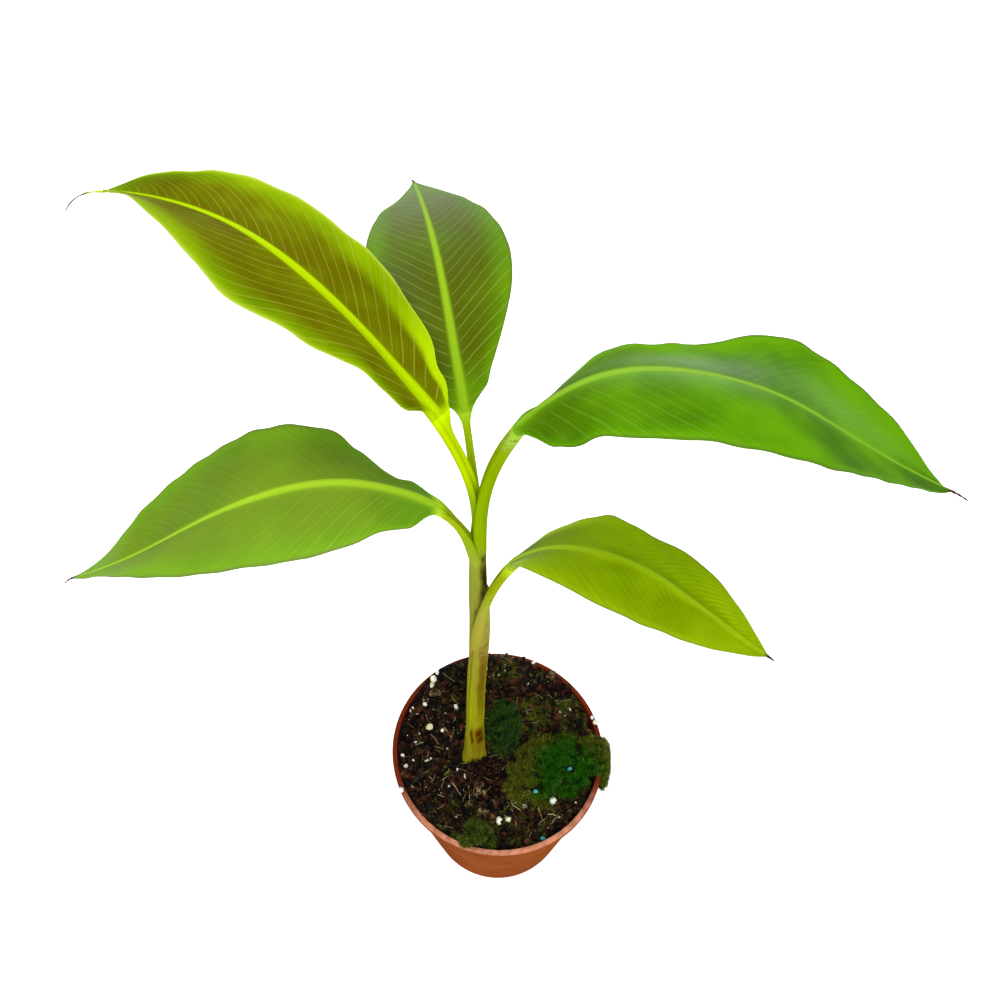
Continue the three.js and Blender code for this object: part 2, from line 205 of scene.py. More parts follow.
LEAVES = [
    dict(azimuth=147, emerges=191, sheath=28, petiole=57, blade=185,
         sheath_radius=3.2, petiole_radius=2.5, pitch=[90, 49, 30, -4, -19], tip_power=0.98,
         left=dict(width=31, base_power=1.0, rise=[-10, 24, 8, 29, 36, 42], wave=[2.5, 3.1, 0.07],
                   bumps=[(0.06, 0.04, 2.5), (0.18, 0.03, -2), (0.27, 0.04, 1.5), (0.43, 0.05, 2),
                          (0.92, 0.045, -3.3)]),
         right=dict(width=31, base_power=0.57, rise=[20, -9, -8, 1, 14, 8], wave=[1, 3.2, 0.2],
                    wing=(14, 4.5), bumps=[(0.065, 0.05, -6.3), (0.5, 0.05, 1.3), (0.88, 0.08, 2.4)]),
         tail=dict(length=27, turn=75, drop=-45, hook=2.5), sunk=(0, 10)),
    dict(azimuth=102, emerges=184, sheath=31, petiole=56, blade=136,
         sheath_radius=2.8, petiole_radius=2.0, pitch=[82, 44, 30, -5, -19], tip_power=0.91,
         left=dict(width=30, base_power=0.72, rise=[8, 3, -3, -10, -12, -33], wave=[0.6, 2, 0],
                   wing=(8, 3.5), bumps=[(0.68, 0.08, 1), (0.84, 0.08, 2.5)]),
         right=dict(width=30, base_power=0.89, rise=[10, 20, 12, -1, -5, -13], wave=[0.6, 2.5, 0.5],
                    wing=(8, 2.5), bumps=[(0.2, 0.13, -1.2), (0.5, 0.1, -0.5), (0.88, 0.07, 2.5)]),
         tail=dict(length=6, turn=10, drop=-23), slim=0.22, sunk=(0, 10)),
    dict(azimuth=0, emerges=173, sheath=45, petiole=80, blade=207,
         sheath_radius=3.6, petiole_radius=3.0, pitch=[90, 62, -8, -36, -29], tip_power=0.97,
         left=dict(width=34.5, base_power=0.95, rise=[-45, -21, -24, 10, 15, 25], wave=[0.8, 2.5, 0.3],
                   bumps=[(0.31, 0.06, -5.5), (0.68, 0.12, -1.5), (0.94, 0.06, -4)]),
         right=dict(width=35, base_power=0.69, rise=[-50, -1, 7, 10, 18, 10], wave=[1, 3, 0.5],
                    wing=(6, 3), bumps=[(0.18, 0.03, -1.3), (0.28, 0.05, 2), (0.55, 0.08, 2.4)]),
         tail=dict(length=10, turn=-8, drop=-36), bow=1.3, sunk=(0, 10)),
    dict(azimuth=180, emerges=157, sheath=38, petiole=53, blade=191,
         sheath_radius=4.2, petiole_radius=2.8, pitch=[90, 46, -21, -36, -23], tip_power=0.84,
         left=dict(width=36.5, base_power=0.70, rise=[-7, -10, 3, 23, 35, 45], wave=[1, 3, 0.1],
                   wing=(12, 3), bumps=[(0.12, 0.03, -1.5), (0.6, 0.07, 1.2), (0.82, 0.07, -2.3)]),
         right=dict(width=38, base_power=0.66, rise=[-25, -25, 2, 6, 4, -29], wave=[0.8, 2.2, 0.5],
                    wing=(14, 5), bumps=[(0.095, 0.055, -9), (0.26, 0.05, 5.5), (0.4, 0.04, -1.5),
                                         (0.72, 0.08, 1), (0.9, 0.05, 3)]),
         tail=dict(length=6, turn=19, drop=-46), bow=1.4, sunk=(0.4, 30), slim=0.28),
    dict(azimuth=-20, emerges=97, sheath=50, petiole=91, blade=131,
         sheath_radius=5.0, petiole_radius=2.4, pitch=[90, 64, 10, -35, -31], tip_power=0.95,
         left=dict(width=26, base_power=0.53, rise=[-18, -21, -21, -14, 5, 3], wave=[0.7, 2, 0.5],
                   bumps=[(0.32, 0.05, 2.8), (0.5, 0.05, -1.8), (0.65, 0.06, 1.6)]),
         right=dict(width=26, base_power=0.42, rise=[0, 37, 10, -8, -6, -8], wave=[0.6, 2.5, 0],
                    bumps=[(0.108, 0.056, -12), (0.25, 0.05, 2.2), (0.6, 0.13, -1.1)]),
         tail=dict(length=3, turn=0, drop=-32), sunk=(0.4, 40)),
]


# %% Smooth curves through a few values
def smoothstep(x, low, high):
    share = np.clip((x - low) / (high - low), 0, 1)
    return share * share * (3 - 2 * share)


def smooth_value(stations, values, x):
    """The CAD model's own curve: it passes through the values and never overshoots them."""
    stations = np.asarray(stations, float)
    values = np.asarray(values, float)
    slopes = np.diff(values) / np.diff(stations)
    before = np.concatenate([slopes[:1], slopes])
    after = np.concatenate([slopes, slopes[-1:]])
    total = np.where(before * after > 0, before + after, 1)
    tangents = np.where(before * after > 0, 2 * before * after / total, 0)
    low = np.clip(np.searchsorted(stations, x, side="left") - 1, 0, len(slopes) - 1)
    step = stations[low + 1] - stations[low]
    s = np.clip((x - stations[low]) / step, 0, 1)
    return (values[low] * (1 + 2 * s) * (1 - s) ** 2 + step * tangents[low] * s * (1 - s) ** 2
            + values[low + 1] * s * s * (3 - 2 * s) + step * tangents[low + 1] * s * s * (s - 1))


def smooth_even(values, x):
    return smooth_value(np.linspace(0, 1, len(values)), values, x)


print("a quarter of the way along, a smooth step has risen by", float(smoothstep(0.25, 0, 1)))


# %% The centreline of a leaf
def frame_of(azimuth, pitch):
    """The directions of a limb: along it, out of its upper side, and to its right."""
    turn = np.radians(np.asarray(azimuth, float))
    slope = np.radians(np.asarray(pitch, float))
    turn, slope = np.broadcast_arrays(turn, slope)
    along = np.stack([np.cos(turn) * np.cos(slope), np.sin(turn) * np.cos(slope), np.sin(slope)], axis=-1)
    normal = np.stack([-np.cos(turn) * np.sin(slope), -np.sin(turn) * np.sin(slope), np.cos(slope)], axis=-1)
    right = np.stack([np.sin(turn), -np.cos(turn), np.zeros_like(turn)], axis=-1)
    return along, normal, right


def midrib_of(leaf):
    """Points a millimetre apart from the stem's axis to the tip of the blade."""
    total = leaf["petiole"] + leaf["blade"]
    length = np.arange(0, total + 1, dtype=float)
    middle = (length[1:] + length[:-1]) / 2
    along, _, _ = frame_of(leaf["azimuth"], pitch_at(leaf, middle))
    start = STEM_FOOT + STEM_LEAN * leaf["emerges"]
    points = np.vstack([start, start + np.cumsum(along, axis=0)])
    return length, points


def pitch_at(leaf, length):
    on_petiole = length / leaf["petiole"]
    on_blade = 1 + (length - leaf["petiole"]) / leaf["blade"]
    station = np.where(length < leaf["petiole"], on_petiole, on_blade)
    return smooth_value(PITCH_STATIONS, leaf["pitch"], station)


def point_at(midrib, length):
    stations, points = midrib
    return np.stack([np.interp(length, stations, points[:, axis]) for axis in range(3)], axis=-1)


midribs = [midrib_of(leaf) for leaf in LEAVES]
for number, (stations, points) in enumerate(midribs, 1):
    print(f"leaf {number}: {stations[-1]:.0f} mm from the stem, tip at", points[-1].round())


# %% [markdown]
# ## A skin over rings
# Blades, petioles and the stem are long closed skins whose sections change all the way along. A grid
# primitive already has the right faces, so each of its points is put on a ring, its two sides are
# merged where they meet, and its ends are closed. Each point can also carry values, such as how near
# it is to the midrib, which the materials read later.

# %% Points in and out of a mesh
def read_points(mesh):
    flat = np.empty(len(mesh.vertices) * 3)
    mesh.vertices.foreach_get("co", flat)
    return flat.reshape(-1, 3)


def write_points(mesh, points):
    mesh.vertices.foreach_set("co", np.ascontiguousarray(points, dtype=float).ravel())
    mesh.update()


def write_value(mesh, name, values):
    attribute = mesh.attributes.get(name) or mesh.attributes.new(name, "FLOAT", "POINT")
    attribute.data.foreach_set("value", np.asarray(values, dtype=np.float32).ravel())


def select_only(piece):
    bpy.ops.object.select_all(action="DESELECT")
    piece.select_set(True)
    bpy.context.view_layer.objects.active = piece


# %% The skin itself
def skin(name, rings, values=None, uv=None):
    """rings is rows x columns x 3 in mm, each ring closed by its first point. uv holds u and v alike."""
    rows, columns = rings.shape[:2]
    bpy.ops.object.select_all(action="DESELECT")
    bpy.ops.mesh.primitive_grid_add(x_subdivisions=columns - 1, y_subdivisions=rows - 1, size=2)
    piece = bpy.context.active_object
    piece.name = name
    mesh = piece.data
    flat = read_points(mesh)
    column = np.rint((flat[:, 0] + 1) / 2 * (columns - 1)).astype(int)
    row = np.rint((flat[:, 1] + 1) / 2 * (rows - 1)).astype(int)
    write_points(mesh, rings[row, column] * MM)
    for label, table in (values or {}).items():
        write_value(mesh, label, np.broadcast_to(table, (rows, columns))[row, column])
    if uv is not None:
        corner = np.empty(len(mesh.loops), dtype=int)
        mesh.loops.foreach_get("vertex_index", corner)
        both = np.stack([np.broadcast_to(part, (rows, columns))[row, column] for part in uv], axis=-1)
        mesh.uv_layers.active.data.foreach_set("uv", both[corner].astype(np.float32).ravel())
    bpy.ops.object.mode_set(mode="EDIT")
    bpy.ops.mesh.select_all(action="SELECT")
    bpy.ops.mesh.remove_doubles(threshold=0.002 * MM)
    bpy.ops.mesh.fill_holes(sides=0)
    bpy.ops.mesh.normals_make_consistent(inside=False)
    bpy.ops.object.mode_set(mode="OBJECT")
    bpy.ops.object.shade_smooth_by_angle(angle=math.radians(50))
    return piece


# %% [markdown]
# ## Petioles and blades
# A petiole is a stalk with a channel along its upper side. Its two edges widen to the halves of the
# blade, a thin sheet on a thick midrib that is channelled above and rounded below. The side veins leave
# the midrib at a slant and run parallel to the margin, and the sheet swells a little between them. Rows
# of points that follow the veins give that relief in the mesh itself, so the rows slant forward. The
# tip dries first and ends in a thin brown thread. One set of rings runs all the way from the stem to
# the thread, so that the petiole and the blade meet without a step, and is then cut in two.

# %% Measures of the finer leaf
# How many rings a blade and its thread have, and how far apart a petiole's rings are.
VEIN_ROWS = 220
TAIL_ROWS = 16
PETIOLE_ROW = 1.5
# Where the columns of points lie across half a midrib, and how many lie across the sheet beside it.
RIB_STEPS = [0, 0.27, 0.53, 0.76, 1.0]
LAMINA_STEPS = 18
# The sheet's thickness at the midrib and at the margin, and how far the margin has grown out.
LAMINA = 0.5
MARGIN = 0.28
MARGIN_GROWTH = 0.4
VEIN_SPACING = 4.0
VEIN_RELIEF = 0.09
# Half the tip's width, how slim the thread ends, and how soon a blade has its full width.
TIP_HALF_WIDTH = 0.5
TAIL_SLIM = 0.5
SHOULDER = 11
# A stalk's upper and lower skins meet at its sides, this far round from the top, and the channel in its
# upper side is this wide and this deep, as a share of the radius, at its two ends.
STALK_SIDE = np.radians(88)
CHANNEL_SIDE = np.radians(52)
CHANNEL_DEEP, CHANNEL_SHALLOW = 0.62, 0.30
COLUMN_SHARE = np.linspace(0, 1, len(RIB_STEPS) + LAMINA_STEPS)
ACROSS = np.concatenate([np.zeros(len(RIB_STEPS)), np.arange(1, LAMINA_STEPS + 1) / LAMINA_STEPS])
RIB_SHARE = np.concatenate([RIB_STEPS, np.ones(LAMINA_STEPS)])
print("columns of points across half a leaf:", len(COLUMN_SHARE))


# %% How wide and thick a leaf is
def rib_radius(leaf, t):
    return leaf["petiole_radius"] + (TIP_RIB_RADIUS - leaf["petiole_radius"]) * t


def stalk_radius(leaf, length):
    plain = leaf["sheath_radius"] + (leaf["petiole_radius"] - leaf["sheath_radius"]) * smoothstep(
        length, 0, leaf["sheath"])
    slimmer = smoothstep(length, 0.3 * leaf["petiole"], 0.8 * leaf["petiole"])
    return plain * (1 - leaf.get("slim", 0) * slimmer)


def width_at(leaf, half, x):
    """A half's width where it is x mm past the blade's base, or before it where x is below 0."""
    t = np.clip(x / leaf["blade"], 0, 1)
    widest = half["base_power"] / (half["base_power"] + leaf["tip_power"])
    share = (t / widest) ** half["base_power"] * ((1 - t) / (1 - widest)) ** leaf["tip_power"]
    rib = rib_radius(leaf, t)
    full = half["width"] * share + MARGIN_GROWTH * smoothstep(t, 0, 0.05) * (1 - smoothstep(t, 0.95, 1))
    for middle, spread, outward in half["bumps"]:
        full = full + outward * np.exp(-((t - middle) / spread) ** 2)
    full = np.maximum(full, 0.9 * rib)
    body = 0.9 * rib + (full - 0.9 * rib) * smoothstep(x, -1, SHOULDER)
    reach, wing = half.get("wing", (0, 0))
    if wing:
        body = body + wing * smoothstep(x, -reach, 4) * (1 - smoothstep(x, 4, 18))
    return np.maximum(body, TIP_HALF_WIDTH)


# %% How the sheet lies, and how thick it is
def sheet_lift(leaf, half, side, number, x, vein_row, width, distance, rib):
    """A half's rise in radians, and how far its sheet stands off the midrib's own plane, in mm."""
    t = np.clip(x / leaf["blade"], 0, 1)
    rise = np.radians(smooth_even(half["rise"], t))
    size, count, start = half["wave"]
    wave = size * 4 * t * (1 - t) * np.sin(2 * np.pi * (count * t + start)) * (distance / width) ** 2
    fold = smoothstep(width, rib, 3 * rib)
    sheet = smoothstep(distance, rib, 2.2 * rib)
    # The sheet swells between the veins, most near the midrib, and undulates a little.
    veins = leaf["blade"] / VEIN_SPACING
    swell = VEIN_RELIEF * (1 - np.abs(np.cos(np.pi * vein_row * veins)) * 2) * sheet * (1 - 0.6 * ACROSS)
    slow = 0.35 * np.sin(x / 9 + 5 * ACROSS + number) * np.sin(ACROSS * 4 + t * 11 + 2 * number)
    frill = 0.3 * np.sin(2 * np.pi * (x / 17 + 0.3 * number * side)) * ACROSS ** 6
    base_lift = (rib - 0.8) * (1 - smoothstep(t, 0.0, 0.16))
    lift = (distance * np.sin(rise) * fold + wave + swell + base_lift
            + (slow * sheet + frill) * 4 * t * (1 - t))
    return rise, lift


def sheet_faces(lift, t, width, distance, rib):
    """The heights of the upper and lower faces: channelled above the midrib, and keeled below it."""
    thick = LAMINA + (MARGIN - LAMINA) * ACROSS ** 3
    crown = 0.22 * rib * (1 - smoothstep(distance, 0.4 * rib, 1.5 * rib))
    channel = 0.30 * rib * np.exp(-(distance / (0.5 * rib)) ** 2) * (1 - 0.7 * t)
    keel = np.sqrt(np.clip(1 - (distance / (1.25 * rib)) ** 2, 0, 1)) * (2 * rib - 1.1 - thick / 2)
    return lift + thick / 2 + crown - channel, lift - thick / 2 - keel * np.minimum(1, width / rib)


# %% The section of a stalk
def stalk_faces(leaf, side, length, centre, normal, right):
    """Points round half a petiole: over its pressed-in upper side, and under its round lower one."""
    # It starts slimmer, deep in the stem, so that the sheath seems to open where it comes out.
    slimmer, until = leaf.get("sunk", (0.3, 16))
    stalk = stalk_radius(leaf, length) * (1 - slimmer * (1 - smoothstep(length, 0, until)))
    shallower = (CHANNEL_DEEP - CHANNEL_SHALLOW) * smoothstep(length, 0.5 * leaf["sheath"], leaf["petiole"])
    deep = CHANNEL_DEEP - shallower
    faces = []
    for angle in (STALK_SIDE * COLUMN_SHARE, np.pi - STALK_SIDE * COLUMN_SHARE):
        pressed = 1 - deep * (1 - smoothstep(angle, 0, CHANNEL_SIDE))
        radius = stalk * pressed * (1 + 0.012 * np.sin(6 * angle * side + length / 9))
        faces.append(centre + normal * (radius * np.cos(angle))[..., None]
                     + right * (side * radius * np.sin(angle))[..., None])
    return faces


# %% One half of a leaf, above and below
def half_leaf(leaf, midrib, side, x, number, vein_row):
    """Points from midrib to margin, x mm past the blade's base, and what each point knows."""
    half = leaf["left"] if side < 0 else leaf["right"]
    t = np.clip(x / leaf["blade"], 0, 1)
    length = leaf["petiole"] + x
    rib = rib_radius(leaf, t)
    width = width_at(leaf, half, x)
    rib_edge = np.minimum(1.5 * rib, 0.6 * width)
    distance = rib_edge * RIB_SHARE + (width - rib_edge) * ACROSS
    rise, lift = sheet_lift(leaf, half, side, number, x, vein_row, width, distance, rib)
    upper, lower = sheet_faces(lift, t, width, distance, rib)
    _, normal, right = frame_of(leaf["azimuth"], pitch_at(leaf, length))
    bow = leaf.get("bow", 0) * np.sin(np.pi * np.clip(length / (leaf["petiole"] + 25), 0, 1)) ** 2
    centre = point_at(midrib, length) + normal * bow[..., None]
    middle = centre + right * (side * distance * np.cos(rise))[..., None]
    above = middle + normal * upper[..., None]
    below = middle + normal * lower[..., None]
    # Before the blade's base the section is the stalk's, and it turns into the blade's over the wing.
    round_above, round_below = stalk_faces(leaf, side, length, centre, normal, right)
    reach = half.get("wing", (0, 0))[0]
    blend = smoothstep(x, -reach, 12 - 0.8 * reach)[..., None]
    above = round_above * (1 - blend) + above * blend
    below = round_below * (1 - blend) + below * blend
    blank = 0 * (x + ACROSS)
    facts = dict(x=x, t=t, across=ACROSS, distance=distance, rib=rib, blend=blend[..., 0], length=length,
                 row=vein_row)
    return above, below, {key: value + blank for key, value in facts.items()}


# %% The rings of a whole leaf, with its dry thread
def leaf_rings(leaf, midrib, lean, number):
    """Rings from the stem's axis to the end of the thread, and the ring where the blade begins."""
    stalk_rows = int(leaf["petiole"] / PETIOLE_ROW)
    before = np.linspace(-leaf["petiole"], 0, stalk_rows, endpoint=False)[:, None]
    s = np.linspace(0, 1, VEIN_ROWS + 1)[:, None]
    margin = 1 - (1 - s) ** lean
    t = np.clip(s + (margin - s) * ACROSS ** 1.15, 0, 1)
    x = np.concatenate([before + 0 * ACROSS, t * leaf["blade"]])
    row = np.concatenate([0 * before, s])
    left = half_leaf(leaf, midrib, -1, x, number, row)
    right = half_leaf(leaf, midrib, 1, x, number, row)

    def loop(l_above, r_above, l_below, r_below):
        """Over the top from the left margin to the right one, back underneath, and closed."""
        ring = [l_above[:, :0:-1], r_above, r_below[:, ::-1], l_below[:, 1:], l_above[:, -1:]]
        return np.concatenate(ring, axis=1)

    rings = loop(left[0], right[0], left[1], right[1])
    facts = {key: loop(left[2][key], right[2][key], left[2][key], right[2][key]) for key in left[2]}
    columns = len(ACROSS)
    under = np.zeros(rings.shape[1])
    under[2 * columns - 1:-1] = 1
    side = np.concatenate([-np.ones(columns - 1), np.ones(2 * columns), -np.ones(columns)])
    facts["under"] = under + 0 * facts["t"]
    facts["side"] = side + 0 * facts["t"]
    facts["tail"] = 0 * facts["t"]
    rings, facts = add_tail(leaf, midrib, rings, facts)
    return rings, facts, stalk_rows


def add_tail(leaf, midrib, rings, facts):
    tail = leaf["tail"]
    end_pitch = leaf["pitch"][-1]
    point = midrib[1][-1]
    steps = np.arange(1, TAIL_ROWS + 1) / TAIL_ROWS
    axes = np.stack(frame_of(leaf["azimuth"], end_pitch))
    local = (rings[-1] - point) @ axes.T
    for share in steps:
        bent = share ** tail.get("hook", 1)
        axes = np.stack(frame_of(leaf["azimuth"] + tail["turn"] * bent,
                                 end_pitch + (tail["drop"] - end_pitch) * bent))
        point = point + axes[0] * tail["length"] / TAIL_ROWS
        slim = (1 + (TAIL_SLIM - 1) * share) * (1 + 0.25 * math.sin(17 * share))
        rings = np.concatenate([rings, (point + local @ axes * slim)[None]])
    for key, table in facts.items():
        extra = np.repeat(table[-1:], TAIL_ROWS, axis=0)
        facts[key] = np.concatenate([table, extra + (steps[:, None] if key == "tail" else 0)])
    return rings, facts


# %% [markdown]
# ## What a leaf's surface is made of
# A fresh blade is a waxy, slightly translucent sheet: light that falls on it from behind makes it glow
# yellow-green. The young leaves of this plant carry an olive-brown flush between their pale veins,
# the midrib is lime and nearly smooth, and the tips are dry and brown.

# %% The leaf material
def leaf_material(name, look, veins):
    material = new_material(name)
    place = add(material, "TexCoord", output="Object")
    uv = add(material, "UVMap", uv_map="UVMap")
    along = add(material, "SeparateXYZ", {0: uv})
    known = {label: add(material, "Attribute", output="Fac", attribute_name=label)
             for label in ("rib", "flush", "margin", "dry", "under", "painted_sheen", "rim", "sheet")}
    green, bright, flush, vein = (look[key] for key in ("green", "bright", "flush", "vein"))
    # Pale veins: a thin line at every whole number of vein spacings, each with its own strength.
    count = add(material, "Math", {0: along, 1: veins}, operation="MULTIPLY")
    nearest = add(material, "Math", {0: count, 1: 1.0}, operation="PINGPONG")
    which = add(material, "Math", {0: count, 1: 1.0}, operation="SNAP")
    luck = add(material, "TexWhiteNoise", {"W": which}, "Value", noise_dimensions="1D")
    line = add(material, "MapRange", {0: nearest, 1: 0.0, 2: 0.2, 3: 1.0, 4: 0.0},
               interpolation_type="SMOOTHSTEP")
    strength = add(material, "MapRange", {0: luck, 1: 0.0, 2: 1.0, 3: 0.25, 4: 1.0})
    line = add(material, "Math", {0: line, 1: strength}, operation="MULTIPLY")
    line = add(material, "Math", {0: line, 1: known["sheet"]}, operation="MULTIPLY")
    # The fine veins between them, about 0.5 mm apart, drawn a little coarser so that they show.
    fine = add(material, "TexNoise", {"W": count, "Scale": 5.0, "Detail": 3.0}, noise_dimensions="1D")
    # Slow changes of green over a few centimetres, and a flush that is thinner in patches half as wide.
    drift = add(material, "TexNoise", {"Vector": place, "Scale": grain_scale(36), "Detail": 3.0})
    drift = add(material, "MapRange", {0: drift, 1: 0.35, 2: 0.65, 3: 0.0, 4: 1.0})
    sheet = add(material, "Mix", {0: drift, 6: green, 7: bright}, 2, data_type="RGBA")
    # The margin value also carries painted light, which pales one half of some leaves.
    sheet = add(material, "Mix", {0: known["margin"], 6: sheet, 7: bright}, 2, data_type="RGBA")
    fine_tint = add(material, "MapRange", {0: fine, 1: 0.3, 2: 0.7, 3: 0.0, 4: 0.35})
    fine_tint = add(material, "Math", {0: fine_tint, 1: known["sheet"]}, operation="MULTIPLY")
    patchy = add(material, "TexNoise", {"Vector": place, "Scale": grain_scale(16.7), "Detail": 2.0})
    patchy = add(material, "MapRange", {0: patchy, 1: 0.25, 2: 0.6, 3: 0.7, 4: 1.0})
    flushed = add(material, "Math", {0: known["flush"], 1: patchy}, operation="MULTIPLY")
    flushed = add(material, "Math", {0: flushed, 1: look["share"]}, operation="MULTIPLY")
    sheet = add(material, "Mix", {0: flushed, 6: sheet, 7: flush}, 2, data_type="RGBA")
    sheet = add(material, "Mix", {0: fine_tint, 6: sheet, 7: green}, 2,
                data_type="RGBA", blend_type="MULTIPLY")
    veined = add(material, "Math", {0: line, 1: look["lines"]}, operation="MULTIPLY")
    sheet = add(material, "Mix", {0: veined, 6: sheet, 7: vein}, 2, data_type="RGBA")
    sheet = add(material, "Mix", {0: known["under"], 6: sheet, 7: vein}, 2, data_type="RGBA")
    # The margin is a hair's breadth of tougher tissue, of its own colour.
    sheet = add(material, "Mix", {0: known["rim"], 6: sheet, 7: look["rim"]}, 2, data_type="RGBA")
    sheet = add(material, "Mix", {0: known["rib"], 6: sheet, 7: look["rib"]}, 2, data_type="RGBA")
    # Painted sheen: greyish patches stand for light that the waxy leaf reflects.
    sheet = add(material, "Mix", {0: known["painted_sheen"], 6: sheet, 7: "#A0AC98"}, 2, data_type="RGBA")
    sheet = add(material, "Mix", {0: known["dry"], 6: sheet, 7: "#4A2F1C"}, 2, data_type="RGBA")
    height = add(material, "Math", {0: fine, 1: 0.5}, operation="MULTIPLY")
    bump = add(material, "Bump", {"Height": height, "Strength": 0.25, "Distance": 0.4 * MM})
    # The specular level is next to nought, as it is on the petioles and the stem, and the leaf's sheen
    # is painted into its colour instead.
    waxy = add(material, "MapRange", {0: drift, 1: 0.0, 2: 1.0, 3: 0.36, 4: 0.48})
    surface = add(material, "BsdfPrincipled", {
        "Base Color": sheet, "Roughness": waxy, "IOR": 1.45, "Normal": bump, "Specular IOR Level": 0.01})
    through = add(material, "BsdfTranslucent", {"Color": sheet, "Normal": bump})
    both = add(material, "MixShader", {0: 0.3, 1: surface, 2: through})
    add(material, "OutputMaterial", {"Surface": both})
    return material


# %% Each leaf's colours
# Share is how strong the flush is and span where along the blade it begins, is full, fades and ends.
# Lines is how plain the pale veins are and spacing how far apart, in mm. Rib_wide is how much of the
# midrib has its colour, slender how much narrower that is near the base, and soft how blurred its edge.
# Lit is a half that light has paled: its side, how much, and where along it that begins and is full.
# Pale_until is how much of a young leaf's thread is still pale.
LEAF_COLOURS = [
    dict(green="#6C9202", bright="#9EC202", flush="#6A5C02", vein="#A8AC34", rib="#B6D604", rim="#C8DC50",
         share=0.85, lines=0.75, rib_wide=0.68, span=(-0.04, 0.06, 0.8, 0.98), bright_edge=True,
         pale_until=0.35),
    dict(green="#507C0A", bright="#6C9A08", flush="#585A08", vein="#92A048", rib="#94B820", rim="#5A6A28",
         share=0.8, lines=0.7, rib_wide=0.8, span=(0.02, 0.18, 0.8, 0.98), soft=0.6, spacing=2.4),
    dict(green="#4E8208", bright="#74B408", flush="#4E6408", vein="#80A838", rib="#90BC30", rim="#4E5E28",
         share=0.6, lines=0.45, rib_wide=0.5, span=(-0.02, 0.03, 0.12, 0.4), slender=0.5,
         lit=(-1, 0.7, 0.5, 0.75)),
    dict(green="#70A208", bright="#86B808", flush="#7C8208", vein="#90B038", rib="#B2D82C", rim="#666A3C",
         share=0.45, lines=0.5, rib_wide=0.62, span=(0.02, 0.16, 0.8, 0.98)),
    dict(green="#88A402", bright="#A8C608", flush="#627604", vein="#9AB420", rib="#A2C018", rim="#6A7434",
         share=0.8, lines=0.12, rib_wide=0.6, span=(-0.04, 0.0, 0.12, 0.45), lit=(-1, 0.8, -0.2, -0.1)),
]
VEIN_COLOUR_SPACING = 3.0
# The power by which each leaf's veins sweep forward from the midrib to the margin.
VEIN_LEAN = [2.1, 1.8, 2.0, 2.0, 1.9]
# Where each leaf's painted sheen lies: along the blade and how far, across it from -1 to 1 and how
# far, how much.
PAINTED_SHEEN = {
    2: [(0.88, 0.25, 0, 1.5, 0.34), (0.5, 0.35, -0.7, 0.5, 0.07)],
    3: [(0.38, 0.15, -0.25, 0.3, 0.38), (0.6, 0.25, -0.25, 0.3, 0.12)],
    4: [(0.5, 0.6, 0, 2, 0.06), (0.93, 0.1, 0, 1, 0.14)],
}


# %% [markdown]
# The stalk's skin is smooth and waxy, lime on the young leaves and duller on the old ones, with faint
# lines along it where its fibres run. Where it meets the blade it has the midrib's own colour.

# %% The petiole material
# A petiole is the upper end of a sheath, so both take their greens from the height above the bench.
# Each green's height is in mm.
SHEATH_GREENS = [(97, "#A8A61C"), (109, "#918918"), (157, "#868A0E"), (200, "#8C8428"), (240, "#8E8E34"),
                 (262, "#8A9430"), (280, "#7E9414"), (300, "#7C9A0C")]
GREENS_TOP = SHEATH_GREENS[-1][0]


def sheath_greens(material, place):
    height = add(material, "SeparateXYZ", {0: place}, 2)
    share = add(material, "Math", {0: height, 1: GREENS_TOP * MM}, operation="DIVIDE")
    return add(material, "ValToRGB", {0: share}, stops=[
        (z / GREENS_TOP, colour) for z, colour in SHEATH_GREENS])


